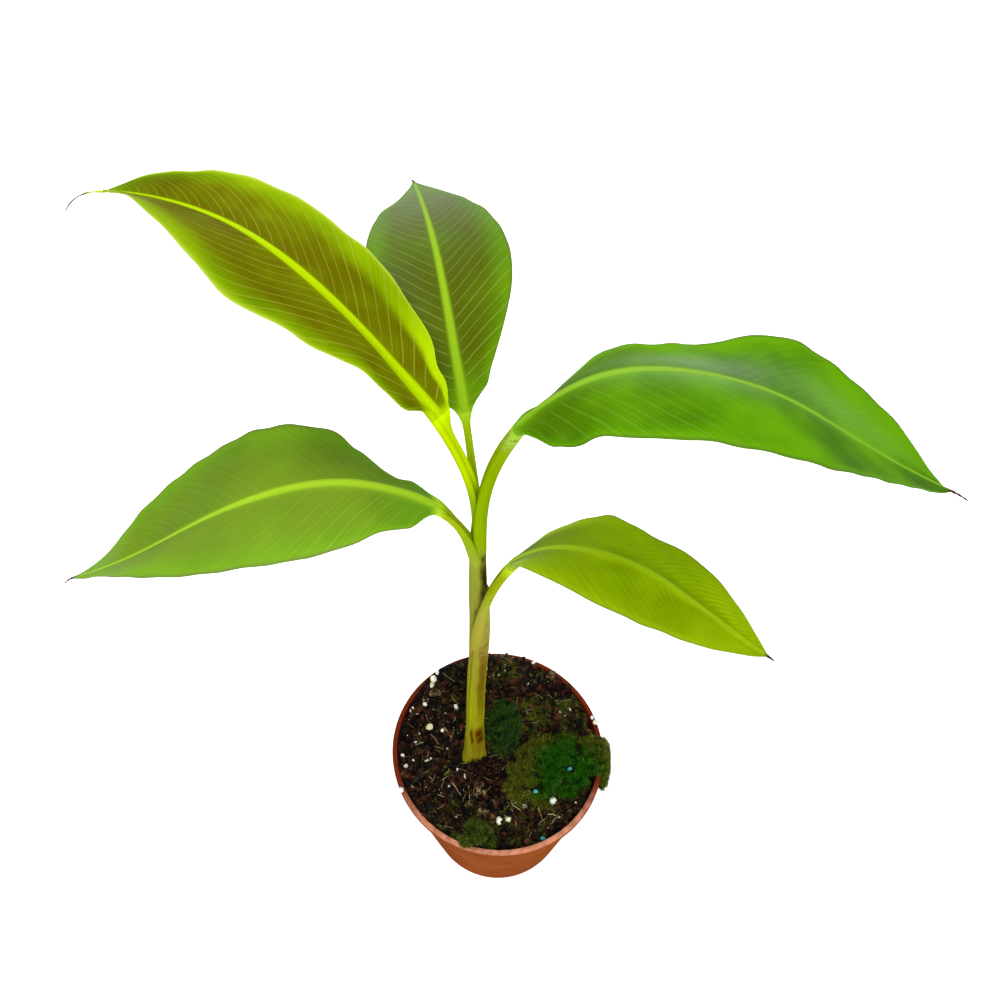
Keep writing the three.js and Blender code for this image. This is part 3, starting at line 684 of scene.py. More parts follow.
def petiole_material(name, lime, dull, low_share, channel, rib):
    """Low_share is how far up the sheath's greens go, and channel how much painted shade is in the channel.
    """
    material = new_material(name)
    place = add(material, "TexCoord", output="Object")
    uv = add(material, "UVMap", uv_map="UVMap")
    groove = add(material, "Attribute", output="Fac", attribute_name="groove")
    along = add(material, "Attribute", output="Fac", attribute_name="along")
    # Its fibres are about 0.4 mm wide, so 40 of them lie round it.
    stretched = add(material, "Mapping", {"Vector": uv, "Scale": (3.0, 40.0, 1.0)})
    fibres = add(material, "TexNoise", {"Vector": stretched, "Scale": 1.0, "Detail": 3.0})
    fibres = add(material, "MapRange", {0: fibres, 1: 0.35, 2: 0.7, 3: 0.0, 4: 1.0})
    blotch = add(material, "TexNoise", {"Vector": place, "Scale": grain_scale(11.1), "Detail": 4.0})
    soft = add(material, "Math", {0: fibres, 1: 0.4}, operation="MULTIPLY")
    colour = add(material, "Mix", {0: soft, 6: lime, 7: dull}, 2, data_type="RGBA")
    # Painted shade: the channel in the upper side is darkened towards the dull green.
    shade = add(material, "Math", {0: groove, 1: channel}, operation="MULTIPLY")
    colour = add(material, "Mix", {0: shade, 6: colour, 7: dull}, 2, data_type="RGBA")
    top = add(material, "MapRange", {0: along, 1: 0.9, 2: 1.0, 3: 0.0, 4: 1.0})
    colour = add(material, "Mix", {0: top, 6: colour, 7: rib}, 2, data_type="RGBA")
    climb = add(material, "MapRange", {0: along, 1: low_share, 2: low_share + 0.35, 3: 1.0, 4: 0.0},
                interpolation_type="SMOOTHSTEP")
    greens = sheath_greens(material, place)
    colour = add(material, "Mix", {0: climb, 6: colour, 7: greens}, 2, data_type="RGBA")
    # A corky joint where the blade was bent over: greyish, with dark specks. They are half a millimetre
    # wide on the real one, and drawn coarser so that they show.
    scar = add(material, "Attribute", output="Fac", attribute_name="scar")
    colour = add(material, "Mix", {0: scar, 6: colour, 7: "#94AC40"}, 2, data_type="RGBA")
    specks = add(material, "TexNoise", {"Vector": place, "Scale": grain_scale(0.9), "Detail": 1.0})
    specks = add(material, "MapRange", {0: specks, 1: 0.56, 2: 0.64, 3: 0.0, 4: 1.0})
    specks = add(material, "Math", {0: specks, 1: scar}, operation="MULTIPLY")
    colour = add(material, "Mix", {0: specks, 6: colour, 7: "#3E3A18"}, 2, data_type="RGBA")
    bump = add(material, "Bump", {"Height": fibres, "Strength": 0.2, "Distance": 0.3 * MM})
    rough = add(material, "MapRange", {0: blotch, 1: 0.3, 2: 0.7, 3: 0.4, 4: 0.55})
    surface = add(material, "BsdfPrincipled", {
        "Base Color": colour, "Roughness": rough, "IOR": 1.45, "Normal": bump, "Specular IOR Level": 0.0,
        "Subsurface Weight": 0.12, "Subsurface Radius": (0.5, 0.8, 0.1), "Subsurface Scale": 2 * MM})
    add(material, "OutputMaterial", {"Surface": surface})
    return material


# %% Each petiole's colours
# Its lime and dull greens, its low_share and its channel, the strength of the channel's painted shade.
PETIOLE_COLOURS = [
    ("#AEC600", "#88A204", 0.22, 0.1), ("#90AC06", "#788E06", -0.1, 0.2), ("#7E9A02", "#6C8204", -0.15, 0.25),
    ("#909F10", "#76850C", 0.45, 0.3), ("#86920C", "#5A640A", 0.42, 0.9),
]


# %% What each point of a leaf tells its material
def rib_value(look, facts, wide):
    """1 on the midrib and on the base that runs into the petiole, and 0 on the sheet."""
    distance, rib_size = facts["distance"], facts["rib"]
    slender = look.get("slender", 0)
    soft = look.get("soft", 0)
    rib = 1 - smoothstep(distance, (1 - soft) * wide, wide + (0.35 + 0.4 * soft) * rib_size)
    base = (1 - facts["blend"]) * (1 - smoothstep(distance, 1.2 * rib_size, 2 * rib_size))
    base = (1 - slender) * np.maximum(base, 1 - smoothstep(facts["x"], 0, 4))
    return np.maximum(rib, base)


# Painted sheen: pale patches that stand for reflected light.
def painted_sheen_value(number, t, sideways):
    painted_sheen = 0 * t
    for middle, reach, aside, spread, amount in PAINTED_SHEEN.get(number, []):
        spot = np.exp(-((t - middle) / reach) ** 2 - ((sideways - aside) / spread) ** 2)
        painted_sheen = np.maximum(painted_sheen, amount * spot)
    return painted_sheen


def blade_values(number, look, facts):
    t, across, tail, side = facts["t"], facts["across"], facts["tail"], facts["side"]
    wide = look["rib_wide"] * facts["rib"] * (1 - look.get("slender", 0) * (1 - smoothstep(t, 0.03, 0.22)))
    rib = rib_value(look, facts, wide)
    begins, full, fades, ends = look["span"]
    flush = smoothstep(facts["distance"], wide, 1.3 * facts["rib"]) * (1 - smoothstep(across, 0.5, 0.95))
    flush = flush * smoothstep(t, begins, full) * (1 - smoothstep(t, fades, ends))
    sheet = smoothstep(facts["distance"], 1.1 * facts["rib"], 1.9 * facts["rib"])
    margin = smoothstep(across, 0.82, 1.0)
    if look.get("bright_edge"):
        # The half that unrolled last is still pale for a third of its width.
        band = (side > 0) * smoothstep(across, 0.5, 0.75) * (1 - smoothstep(t, 0.1, 0.5))
        margin = np.maximum(margin, band)
        flush = flush * (1 - band)
        rib = np.maximum(rib, 0.85 * band * (1 - smoothstep(t, 0.1, 0.3)))
    # Painted light: one half is painted paler, through the margin's pale colour.
    lit_side, lit, lit_from, lit_to = look.get("lit", (1, 0, 0, 1))
    lit = lit * (side == lit_side) * smoothstep(across, 0, 0.3) * smoothstep(t, lit_from, lit_to)
    margin = np.maximum(margin, lit)
    rim = 0.7 * smoothstep(across, 0.93, 1.0) * (1 - facts["under"]) * smoothstep(facts["x"], 0, 6)
    dry = np.clip(smoothstep(t, 0.975, 1.0) + (tail > 0), 0, 1)
    if "pale_until" in look:
        dry = dry * smoothstep(tail, look["pale_until"], look["pale_until"] + 0.15)
        rim = np.maximum(rim, 0.8 * (tail > 0))
    # Painted sheen, fainter on the midrib.
    painted_sheen = painted_sheen_value(number, t, side * across) * (1 - 0.6 * rib)
    under = facts["under"] * facts["blend"] * (1 - rib)
    return dict(rib=rib * (1 - dry), flush=flush, margin=margin, dry=dry, painted_sheen=painted_sheen, rim=rim, sheet=sheet,
                under=under)


# %% Make the five leaves
SCAR_LEAF = 3


def make_leaf(number):
    """Two pieces from one set of rings: the petiole, and the blade from its base on."""
    leaf = LEAVES[number - 1]
    look = LEAF_COLOURS[number - 1]
    rings, facts, cut = leaf_rings(leaf, midribs[number - 1], VEIN_LEAN[number - 1], number)
    values = blade_values(number, look, facts)
    u = facts["row"]
    v = 0.5 + 0.5 * facts["side"] * facts["across"]
    blade = skin(f"leaf_blade_{number}", rings[cut:], {key: value[cut:] for key, value in values.items()},
                 (u[cut:], v[cut:]))
    veins = round(leaf["blade"] / look.get("spacing", VEIN_COLOUR_SPACING))
    blade.data.materials.append(leaf_material(f"banana_leaf_{number}", look, veins))
    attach(blade, "root")
    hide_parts(f"leaf_{number}")

    stalk = slice(0, cut + 1)
    along = facts["length"] / leaf["petiole"]
    groove = (1 - smoothstep(facts["across"], 0.3, 0.5)) * (1 - facts["under"])
    turn = np.linspace(0, 1, rings.shape[1]) + 0 * along
    scar = (number == SCAR_LEAF) * 0.8 * smoothstep(along, 0.84, 0.96) * (1 - smoothstep(along, 0.96, 1.0))
    known = dict(groove=groove[stalk], along=along[stalk], scar=scar[stalk])
    petiole = skin(f"petiole_stalk_{number}", rings[stalk], known, (along[stalk], turn[stalk]))
    petiole.data.materials.append(petiole_material(
        f"banana_petiole_{number}", *PETIOLE_COLOURS[number - 1], look["rib"]))
    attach(petiole, "root")
    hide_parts(f"petiole_{number}")
    return blade, petiole


leaves = [make_leaf(number) for number in range(1, 6)]
print("faces of each blade and petiole:", [[len(p.data.polygons) for p in pair] for pair in leaves])


# %% [markdown]
# ## The false stem
# What looks like a trunk is a roll of leaf sheaths. Each older leaf's sheath wraps round the younger
# ones, so the margin of the outermost sheath crosses the stem at a slant below each petiole, and dries
# to a thin dark line. The rings of the stem are drawn in a little wherever that sheath doesn't cover.

# %% Measures of the stem
STEM_HEIGHTS = [0, 3, 8, 18, 40, 72, 97, 115, 137, 157, 180, 196, 200]
STEM_RADII = [7.6, 7.1, 6.3, 5.7, 5.1, 4.9, 4.8, 4.6, 4.8, 4.7, 4.3, 3.4, 2.2]
STEM_TOP = STEM_HEIGHTS[-1]
# Points round the stem and how far apart its rings are, a sheath's thickness, and how far the stem bows.
STEM_SIDES = 112
STEM_STEP = 0.9
SHEATH_STEP = 0.45
STEM_BOW = 0.7
# Stains: height and azimuth of the middle, how tall and wide in mm, and how strong.
STAINS = [
    (30, -106, 16, 0.9, 1.0), (30, -58, 17, 3.0, 1.0), (24, -68, 28, 4.0, 0.42), (84, -52, 72, 2.7, 0.72),
    (155, -48, 30, 2.2, 1.0), (171, -58, 5, 1.1, 0.85), (178, -62, 3, 0.9, 0.8), (58, -46, 34, 1.4, 0.3),
    (9, -95, 3, 3, 0.35), (136, -95, 5, 1.6, 0.45),
]
# How far the lowest leaf's sheath bulges.
SHEATH_BULGE = 1.1
# A sheath's margins, from the lowest leaf up: how far round from the leaf's own side, in degrees, they
# lie at each height.
SHEATH_MARGINS = [
    (5, [0, 20, 115, 133, 138, 145, 151], [122, 120, 101, 97, 80, 38, 6]),
    (4, [0, 140, 165, 175, 182, 190], [158, 155, 152, 140, 90, 8]),
    (3, [0, 184, 190, 199], [165, 158, 145, 100]),
]
MARGIN_STRENGTH = {5: 0.75, 4: 0.6, 3: 0.2}


# %% The sheaths' edges
def turned_from(angle, azimuth):
    """How far angle is from an azimuth in degrees, in radians, at most half a turn either way."""
    return (angle - np.radians(azimuth) + np.pi) % (2 * np.pi) - np.pi


def sheath_layers(height, angle, radius):
    """How many sheaths have ended at each point, and how dark the sheath margin there is."""
    drawn_in = np.zeros_like(radius)
    line = np.zeros_like(radius)
    for lower, (number, heights, turns) in enumerate(SHEATH_MARGINS):
        off = np.abs(turned_from(angle, LEAVES[number - 1]["azimuth"]))
        reach = np.radians(smooth_value(heights, turns, np.minimum(height, heights[-1])))
        here = (height <= heights[-1]) & (drawn_in >= lower)
        uncovered = smoothstep(off * radius, reach * radius - 0.25, reach * radius + 0.25)
        drawn_in = drawn_in + np.where(height > heights[-1], 1, uncovered) * (drawn_in >= lower - 0.01)
        edge = np.exp(-((off - reach) * radius / 0.35) ** 2) * MARGIN_STRENGTH[number]
        line = np.maximum(line, np.where(here, edge, 0))
    return drawn_in, line


def stains_on(height, angle, radius):
    stain = 0 * radius
    for middle, azimuth, tall, wide, strength in STAINS:
        off = turned_from(angle, azimuth) * radius
        off = off + 0.25 * np.sin(height / 2.3) + 0.2 * np.sin(height / 5.1)
        blot = np.exp(-(off / wide) ** 4 - ((height - middle) / (0.5 * tall)) ** 4)
        stain = np.maximum(stain, strength * blot)
    return stain


# %% Rings of the stem
# The azimuth, in degrees, of the wrinkles where the lowest sheath sags.
SAG_AZIMUTH = -55


def stem_rings():
    height = np.arange(0, STEM_TOP + STEM_STEP / 2, STEM_STEP)[:, None]
    angle = np.linspace(0, 2 * np.pi, STEM_SIDES + 1)[None, :]
    radius = np.interp(height, STEM_HEIGHTS, STEM_RADII) + 0 * angle
    drawn_in, line = sheath_layers(height, angle, radius)
    folds = 0.10 * np.sin(9 * angle + height / 37) + 0.06 * np.sin(23 * angle - height / 51)
    bumps = 0.12 * np.sin(height / 7 + 2 * angle) * np.sin(height / 19)
    # The lowest leaf's sheath bulges away from the stem before its petiole leaves it.
    facing = np.exp(-(turned_from(angle, LEAVES[4]["azimuth"]) / 1.1) ** 2)
    bulge = SHEATH_BULGE * facing * smoothstep(height, 70, 120) * (1 - smoothstep(height, 118, 146))
    radius = radius - SHEATH_STEP * drawn_in + folds + bumps + bulge
    bow = STEM_BOW * smoothstep(height, 60, 110) * (1 - smoothstep(height, 130, 175))
    centre = STEM_FOOT + STEM_LEAN * height[..., None] + np.array([1, 0, 0]) * bow[..., None]
    around = np.stack([np.cos(angle), np.sin(angle), 0 * angle], axis=-1)
    rings = centre + around * radius[..., None]
    rings[:, -1] = rings[:, 0]
    sagged = smoothstep(height, 92, 108) * (1 - smoothstep(height, 138, 150))
    wrinkle = sagged * np.exp(-(turned_from(angle, SAG_AZIMUTH) / 0.8) ** 4)
    values = dict(edge=line, wrinkle=wrinkle, stain=stains_on(height, angle, radius))
    return rings, values, (height / STEM_TOP, angle / (2 * np.pi))


# %% [markdown]
# The sheaths are pale yellow-green with long parallel lines, browner near the soil, where the oldest
# sheath has dried, and pale lime at the swollen foot.

# %% The sheath material
def sheath_material():
    material = new_material("banana_sheath")
    place = add(material, "TexCoord", output="Object")
    uv = add(material, "UVMap", uv_map="UVMap")
    edge = add(material, "Attribute", output="Fac", attribute_name="edge")
    wrinkle = add(material, "Attribute", output="Fac", attribute_name="wrinkle")
    # Its lines are about 0.7 mm wide, so 46 of them lie round the stem.
    stretched = add(material, "Mapping", {"Vector": uv, "Scale": (5.0, 46.0, 1.0)})
    fibres = add(material, "TexNoise", {"Vector": stretched, "Scale": 1.0, "Detail": 4.0})
    fibres = add(material, "MapRange", {0: fibres, 1: 0.35, 2: 0.68, 3: 0.0, 4: 1.0})
    greens = sheath_greens(material, place)
    colour = add(material, "Mix", {0: fibres, 6: greens, 7: "#7E8E26"}, 2,
                 data_type="RGBA", blend_type="MULTIPLY")
    colour = add(material, "Mix", {0: 0.7, 6: colour, 7: greens}, 2, data_type="RGBA")
    # Brown stains where an old sheath has rubbed and dried, broken up in flecks 1.4 mm wide and 6 mm tall.
    stain = add(material, "Attribute", output="Fac", attribute_name="stain")
    fleck = (grain_scale(1.43), grain_scale(1.43), grain_scale(6.2))
    tall = add(material, "Mapping", {"Vector": place, "Scale": fleck})
    broken = add(material, "TexNoise", {"Vector": tall, "Scale": 1.0, "Detail": 4.0})
    broken = add(material, "MapRange", {0: broken, 1: 0.34, 2: 0.5, 3: 0.78, 4: 1.0})
    stain = add(material, "Math", {0: stain, 1: broken}, operation="MULTIPLY")
    # They are red-brown low down and nearly black above the lowest petiole.
    high = add(material, "SeparateXYZ", {0: place}, 2)
    high = add(material, "MapRange", {0: high, 1: 200 * MM, 2: 230 * MM, 3: 0.0, 4: 1.0})
    brown = add(material, "Mix", {0: high, 6: "#4C1800", 7: "#36240C"}, 2, data_type="RGBA")
    colour = add(material, "Mix", {0: stain, 6: colour, 7: brown}, 2, data_type="RGBA")
    colour = add(material, "Mix", {0: edge, 6: colour, 7: "#5E4A22"}, 2, data_type="RGBA")
    # Fine cross wrinkles, about 1.4 mm apart, where the lowest sheath has sagged.
    across = (grain_scale(11.1), grain_scale(11.1), grain_scale(1.43))
    flat = add(material, "Mapping", {"Vector": place, "Scale": across})
    cross = add(material, "TexNoise", {"Vector": flat, "Scale": 1.0, "Detail": 3.0})
    cross = add(material, "MapRange", {0: cross, 1: 0.35, 2: 0.65, 3: 0.0, 4: 1.0})
    cross = add(material, "Math", {0: cross, 1: wrinkle}, operation="MULTIPLY")
    paler = add(material, "Math", {0: cross, 1: 0.5}, operation="MULTIPLY")
    colour = add(material, "Mix", {0: paler, 6: colour, 7: "#A8A050"}, 2, data_type="RGBA")
    relief = add(material, "Math", {0: cross, 1: fibres}, operation="ADD")
    bump = add(material, "Bump", {"Height": relief, "Strength": 0.35, "Distance": 0.3 * MM})
    rough = add(material, "MapRange", {0: fibres, 1: 0.0, 2: 1.0, 3: 0.4, 4: 0.55})
    surface = add(material, "BsdfPrincipled", {
        "Base Color": colour, "Roughness": rough, "IOR": 1.45, "Normal": bump, "Specular IOR Level": 0.0,
        "Subsurface Weight": 0.1, "Subsurface Radius": (0.5, 0.8, 0.1), "Subsurface Scale": 2 * MM})
    add(material, "OutputMaterial", {"Surface": surface})
    return material


# %% Make the stem
stem = skin("sheath_stem", *stem_rings())
stem.data.materials.append(sheath_material())
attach(stem, "root")
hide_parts("pseudostem")
print("stem faces:", len(stem.data.polygons))


# %% [markdown]
# ## The nursery pot
# The pot is moulded in one go from terracotta-coloured polypropylene: a thin wall that widens to a
# rolled lip, with drain holes in its floor. A lathe curve would give the shape, but pulling a disc up
# ring by ring is closer to how it is thought of: every step lifts the ring and resizes it. The soft
# pot is pressed a little oval by its load, as the CAD model says.

# %% Measures of the pot
POT_RIM_RADIUS = 60
POT_BASE_RADIUS = 43
POT_WALL = 1.5
POT_FLOOR = 2
LIP_HEIGHT = 4
LIP_WIDTH = 3
LIP_OVERHANG = 1.6
EDGE_ROUND = 0.7
# How much longer than round the rim is, as a share of its radius, and towards which azimuth.
POT_OVAL = 0.015
POT_OVAL_AZIMUTH = 135
DRAIN_HOLES = 6
DRAIN_HOLE_RADIUS = 4
DRAIN_RING_RADIUS = 32
POT_SIDES = 144


def wall_radius(z):
    top = POT_RIM_RADIUS - LIP_OVERHANG
    return POT_BASE_RADIUS + (top - POT_BASE_RADIUS) * z / (POT_HEIGHT - LIP_HEIGHT)


def oval_share(x, y, z):
    """How far out the oval pot reaches in the direction of a point, where a round one reaches 1."""
    return 1 + POT_OVAL * (z / POT_HEIGHT) * np.cos(2 * (np.arctan2(y, x) - math.radians(POT_OVAL_AZIMUTH)))


def press_oval(piece):
    points = read_points(piece.data)
    points[:, :2] *= oval_share(*(points / MM).T)[:, None]
    write_points(piece.data, points)


# %% Pull the pot up from a disc
def pull_rings(start, steps):
    """Extrudes the selected disc through rings, each a height and a radius in mm."""
    z_now, r_now = start
    for z, r in steps:
        bpy.ops.mesh.extrude_region_move(TRANSFORM_OT_translate={"value": (0, 0, (z - z_now) * MM)})
        bpy.ops.transform.resize(value=(r / r_now, r / r_now, 1), center_override=(0, 0, z * MM))
        z_now, r_now = z, r


def make_pot():
    lip_foot = POT_HEIGHT - LIP_HEIGHT
    inner = POT_RIM_RADIUS - LIP_WIDTH
    start = (0, POT_BASE_RADIUS - EDGE_ROUND)
    bpy.ops.object.select_all(action="DESELECT")
    bpy.ops.mesh.primitive_circle_add(vertices=POT_SIDES, radius=start[1] * MM, fill_type="NGON",
                                      location=(0, 0, 0))
    pot = bpy.context.active_object
    pot.name = "nursery_pot"
    wall = [(z, wall_radius(z)) for z in (3, 20, 40, 60, 80, 97)]
    bpy.ops.object.mode_set(mode="EDIT")
    bpy.ops.mesh.select_all(action="SELECT")
    pull_rings(start, [
        (EDGE_ROUND, POT_BASE_RADIUS), *wall, (lip_foot, wall_radius(lip_foot)),
        (lip_foot + 0.1, POT_RIM_RADIUS - 0.5), (lip_foot + 0.5, POT_RIM_RADIUS),
        (POT_HEIGHT - 1.0, POT_RIM_RADIUS), (POT_HEIGHT - 0.3, POT_RIM_RADIUS - 0.3),
        (POT_HEIGHT, POT_RIM_RADIUS - 1.0), (POT_HEIGHT, inner + 0.8), (POT_HEIGHT - 0.3, inner + 0.2),
        (POT_HEIGHT - 1, inner), (lip_foot, inner), (lip_foot - 3, wall_radius(lip_foot - 3) - POT_WALL),
        (40, wall_radius(40) - POT_WALL), (POT_FLOOR, wall_radius(POT_FLOOR) - POT_WALL)])
    bpy.ops.mesh.select_all(action="SELECT")
    bpy.ops.mesh.normals_make_consistent(inside=False)
    bpy.ops.object.mode_set(mode="OBJECT")
    press_oval(pot)
    return pot


# %% Drill the drain holes
def drill(pot):
    for index in range(DRAIN_HOLES):
        turn = 2 * math.pi * index / DRAIN_HOLES
        place = (DRAIN_RING_RADIUS * MM * math.cos(turn), DRAIN_RING_RADIUS * MM * math.sin(turn), MM)
        bpy.ops.object.select_all(action="DESELECT")
        bpy.ops.mesh.primitive_cylinder_add(vertices=28, radius=DRAIN_HOLE_RADIUS * MM, depth=6 * MM,
                                            location=place)
        cutter = bpy.context.active_object
        select_only(pot)
        cut = pot.modifiers.new("drain", "BOOLEAN")
        cut.operation = "DIFFERENCE"
        cut.object = cutter
        cut.solver = "EXACT"
        bpy.ops.object.modifier_apply(modifier="drain")
        bpy.data.objects.remove(cutter)
    bpy.ops.object.shade_smooth_by_angle(angle=math.radians(40))


print("drain holes:", DRAIN_HOLES, "of", 2 * DRAIN_HOLE_RADIUS, "mm")


# %% [markdown]
# New polypropylene has a soft satin gloss. On this old pot it has worn to a dull, slightly cloudy
# surface with the mould's fine ring marks. Painted shade darkens the inside and the lip away from the
# front, and a painted highlight pales the lip's top at the front.

# %% The pot's material
def terracotta_polypropylene():
    material = new_material("terracotta_polypropylene")
    place = add(material, "TexCoord", output="Object")
    inside = add(material, "Attribute", output="Fac", attribute_name="inside")
    lip = add(material, "Attribute", output="Fac", attribute_name="lip")
    lip_highlight = add(material, "Attribute", output="Fac", attribute_name="lip_highlight")
    cloud = add(material, "TexNoise", {"Vector": place, "Scale": grain_scale(22), "Detail": 5.0})
    cloud = add(material, "MapRange", {0: cloud, 1: 0.35, 2: 0.7, 3: 0.0, 4: 1.0})
    colour = add(material, "Mix", {0: cloud, 6: "#804420", 7: "#74391A"}, 2, data_type="RGBA")
    # Painted shade: the lip away from the front and the inside are darker red.
    colour = add(material, "Mix", {0: lip, 6: colour, 7: "#6C2814"}, 2, data_type="RGBA")
    colour = add(material, "Mix", {0: inside, 6: colour, 7: "#4E160C"}, 2, data_type="RGBA")
    # A painted highlight: the top of the lip is paler at the front, in spots a few millimetres long.
    highlight_spots = add(material, "TexNoise", {"Vector": place, "Scale": grain_scale(3.8), "Detail": 4.0})
    highlight_spots = add(material, "MapRange", {0: highlight_spots, 1: 0.35, 2: 0.6, 3: 0.45, 4: 1.0})
    highlight_spots = add(material, "Math", {0: highlight_spots, 1: lip_highlight}, operation="MULTIPLY")
    colour = add(material, "Mix", {0: highlight_spots, 6: colour, 7: "#C8866C"}, 2, data_type="RGBA")
    dust = add(material, "TexNoise", {"Vector": place, "Scale": grain_scale(1.43), "Detail": 3.0})
    dust = add(material, "MapRange", {0: dust, 1: 0.6, 2: 0.75, 3: 0.0, 4: 0.3})
    colour = add(material, "Mix", {0: dust, 6: colour, 7: "#7A3E22"}, 2, data_type="RGBA")
    # The mould's turned rings. A wave texture has 3.2 waves where a noise has one grain, so these are
    # about 1.6 mm apart, which is coarser than real ones, so that they show.
    rings = add(material, "TexWave", {"Vector": place, "Scale": grain_scale(5), "Distortion": 1.0}, "Fac",
                wave_type="BANDS", bands_direction="Z")
    grain = add(material, "TexNoise", {"Vector": place, "Scale": grain_scale(0.67), "Detail": 2.0})
    height = add(material, "Math", {0: rings, 1: 0.2, 2: grain}, operation="MULTIPLY_ADD")
    bump = add(material, "Bump", {"Height": height, "Strength": 0.15, "Distance": 0.3 * MM})
    rough = add(material, "MapRange", {0: cloud, 1: 0.0, 2: 1.0, 3: 0.34, 4: 0.5})
    # The wall has lost its gloss, so its specular level is nought.
    surface = add(material, "BsdfPrincipled", {
        "Base Color": colour, "Roughness": rough, "IOR": 1.49, "Normal": bump, "Specular IOR Level": 0.0})
    add(material, "OutputMaterial", {"Surface": surface})
    return material


# %% Make the pot
def mark_pot(pot):
    """Tells the material where painted shade darkens the inside and the lip, and where the lip has a painted
    highlight.
    """
    x, y, z = (read_points(pot.data) / MM).T
    reach = np.hypot(x, y) / oval_share(x, y, z)
    # Painted shade on the inside.
    write_value(pot.data, "inside", (reach < wall_radius(z) - 0.5) * (z < POT_HEIGHT - 0.1) * 1.0)
    on_lip = (z > POT_HEIGHT - LIP_HEIGHT + 0.05) * 1.0
    # Painted shade on the lip, fading out towards the front.
    write_value(pot.data, "lip", on_lip * smoothstep(y, -50, -20))
    # A painted highlight on the top of the lip at the front.
    write_value(pot.data, "lip_highlight", (z > POT_HEIGHT - 0.5) * (1 - smoothstep(y, -46, -18)))


pot = make_pot()
drill(pot)
mark_pot(pot)
pot.data.materials.append(terracotta_polypropylene())
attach(pot, "root")
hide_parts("pot")
print("pot faces:", len(pot.data.polygons))


# %% [markdown]
# ## The potting mix
# The mix is dark peat and bark, wet enough to glisten, with white perlite, straw-coloured fibres and
# olive scraps of old moss. Its surface heaves and dips by some millimetres and stands highest at the
# back, where it reaches the lip. A square grid wrapped on to a disc gives it an even mesh to raise.

# %% The lie of the surface
# Where the mix is heaped: x and y, how far that reaches and how high it is, in mm.
MIX_RISES = [
    (-36, 44, 17, 6.5), (-18, 55, 12, 6.5), (2, 54, 11, 5.0), (16, 54, 10, 4.5), (32, 42, 10, 3.5),
    (-11, -25, 9, 5.0), (-9, -38, 8, 4.0), (-14, -12, 7, 4.5), (-30, 26, 9, 2.0), (25, 26, 9, 2.5),
    (-34, -36, 9, 2.5), (30, -38, 9, 1.5), (-20, -44, 9, 3.0), (46, 28, 9, 1.5), (-48, -14, 7, 1.5),
]


def ripple(x, y, size, seed):
    """A cheap smooth unevenness between -1 and 1, of bumps about size mm across."""
    total = 0
    for wave in range(4):
        turn = 2.4 * wave + seed
        length = size * (1 + 0.23 * wave)
        along = x * math.cos(turn) + y * math.sin(turn)
        total = total + np.sin(along * 2 * np.pi / length + 1.7 * seed * (wave + 1))
    return total / 4


def mix_height(x, y):
    z = SOIL_TOP + 0.8 + 1.3 * ripple(x, y, 26, 1) + 0.9 * ripple(x, y, 11, 2) + 0.7 * ripple(x, y, 5.5, 3)
    for rise_x, rise_y, reach, height in MIX_RISES:
        z = z + height * np.exp(-((x - rise_x) ** 2 + (y - rise_y) ** 2) / (0.5 * reach) ** 2 / 2)
    # It is banked up against the wall all round, least at the front right.
    bank = smoothstep(np.hypot(x, y), 42, 56) * (3.4 + 2.2 * np.cos(np.arctan2(y, x) - np.radians(120)))
    return z + bank + 0.45 * ripple(x, y, 2.6, 4)


def from_stem(x, y):
    """How many millimetres a place on the mix is from the middle of the stem's foot."""
    return math.hypot(x - STEM_FOOT[0], y - STEM_FOOT[1])


def on_mix(x, y, above=0.0):
    return x, y, float(mix_height(x, y)) + above


print("height of the mix behind and before the stem, in mm:", [round(on_mix(-14, y)[2]) for y in (10, -16)])


# %% Make the bed of mix
BED_CELLS = 190
# Its edge runs down inside the wall: each step down in mm, and how much narrower the ring gets.
BED_SKIRT = [(12, 0.93), (80, 0.78)]


def make_bed():
    bpy.ops.object.select_all(action="DESELECT")
    bpy.ops.mesh.primitive_grid_add(x_subdivisions=BED_CELLS, y_subdivisions=BED_CELLS, size=2)
    bed = bpy.context.active_object
    bed.name = "potting_mix"
    square = read_points(bed.data)
    reach = POT_RIM_RADIUS - LIP_WIDTH + 0.1
    x = square[:, 0] * np.sqrt(1 - square[:, 1] ** 2 / 2) * reach
    y = square[:, 1] * np.sqrt(1 - square[:, 0] ** 2 / 2) * reach
    share = oval_share(x, y, SOIL_TOP)
    points = np.stack([x * share, y * share, mix_height(x, y)], axis=-1)
    write_points(bed.data, points * MM)
    bpy.ops.object.mode_set(mode="EDIT")
    bpy.ops.mesh.select_mode(type="EDGE")
    bpy.ops.mesh.select_all(action="DESELECT")
    bpy.ops.mesh.select_non_manifold()
    # The mix fills the pot, and is closed just over its floor.
    for down, narrower in BED_SKIRT:
        bpy.ops.mesh.extrude_edges_move(TRANSFORM_OT_translate={"value": (0, 0, -down * MM)})
        bpy.ops.transform.resize(value=(narrower, narrower, 1), center_override=(0, 0, 0))
    bpy.ops.mesh.edge_face_add()
    bpy.ops.mesh.select_all(action="SELECT")
    bpy.ops.mesh.normals_make_consistent(inside=False)
    bpy.ops.object.mode_set(mode="OBJECT")
    bpy.ops.object.shade_smooth()
    return bed


# %% [markdown]
# Wet peat is nearly black, reddish where it thins, and sparkles: its roughness drops wherever a film
# of water lies. The crumbs, scraps and fibres on it have a material each.

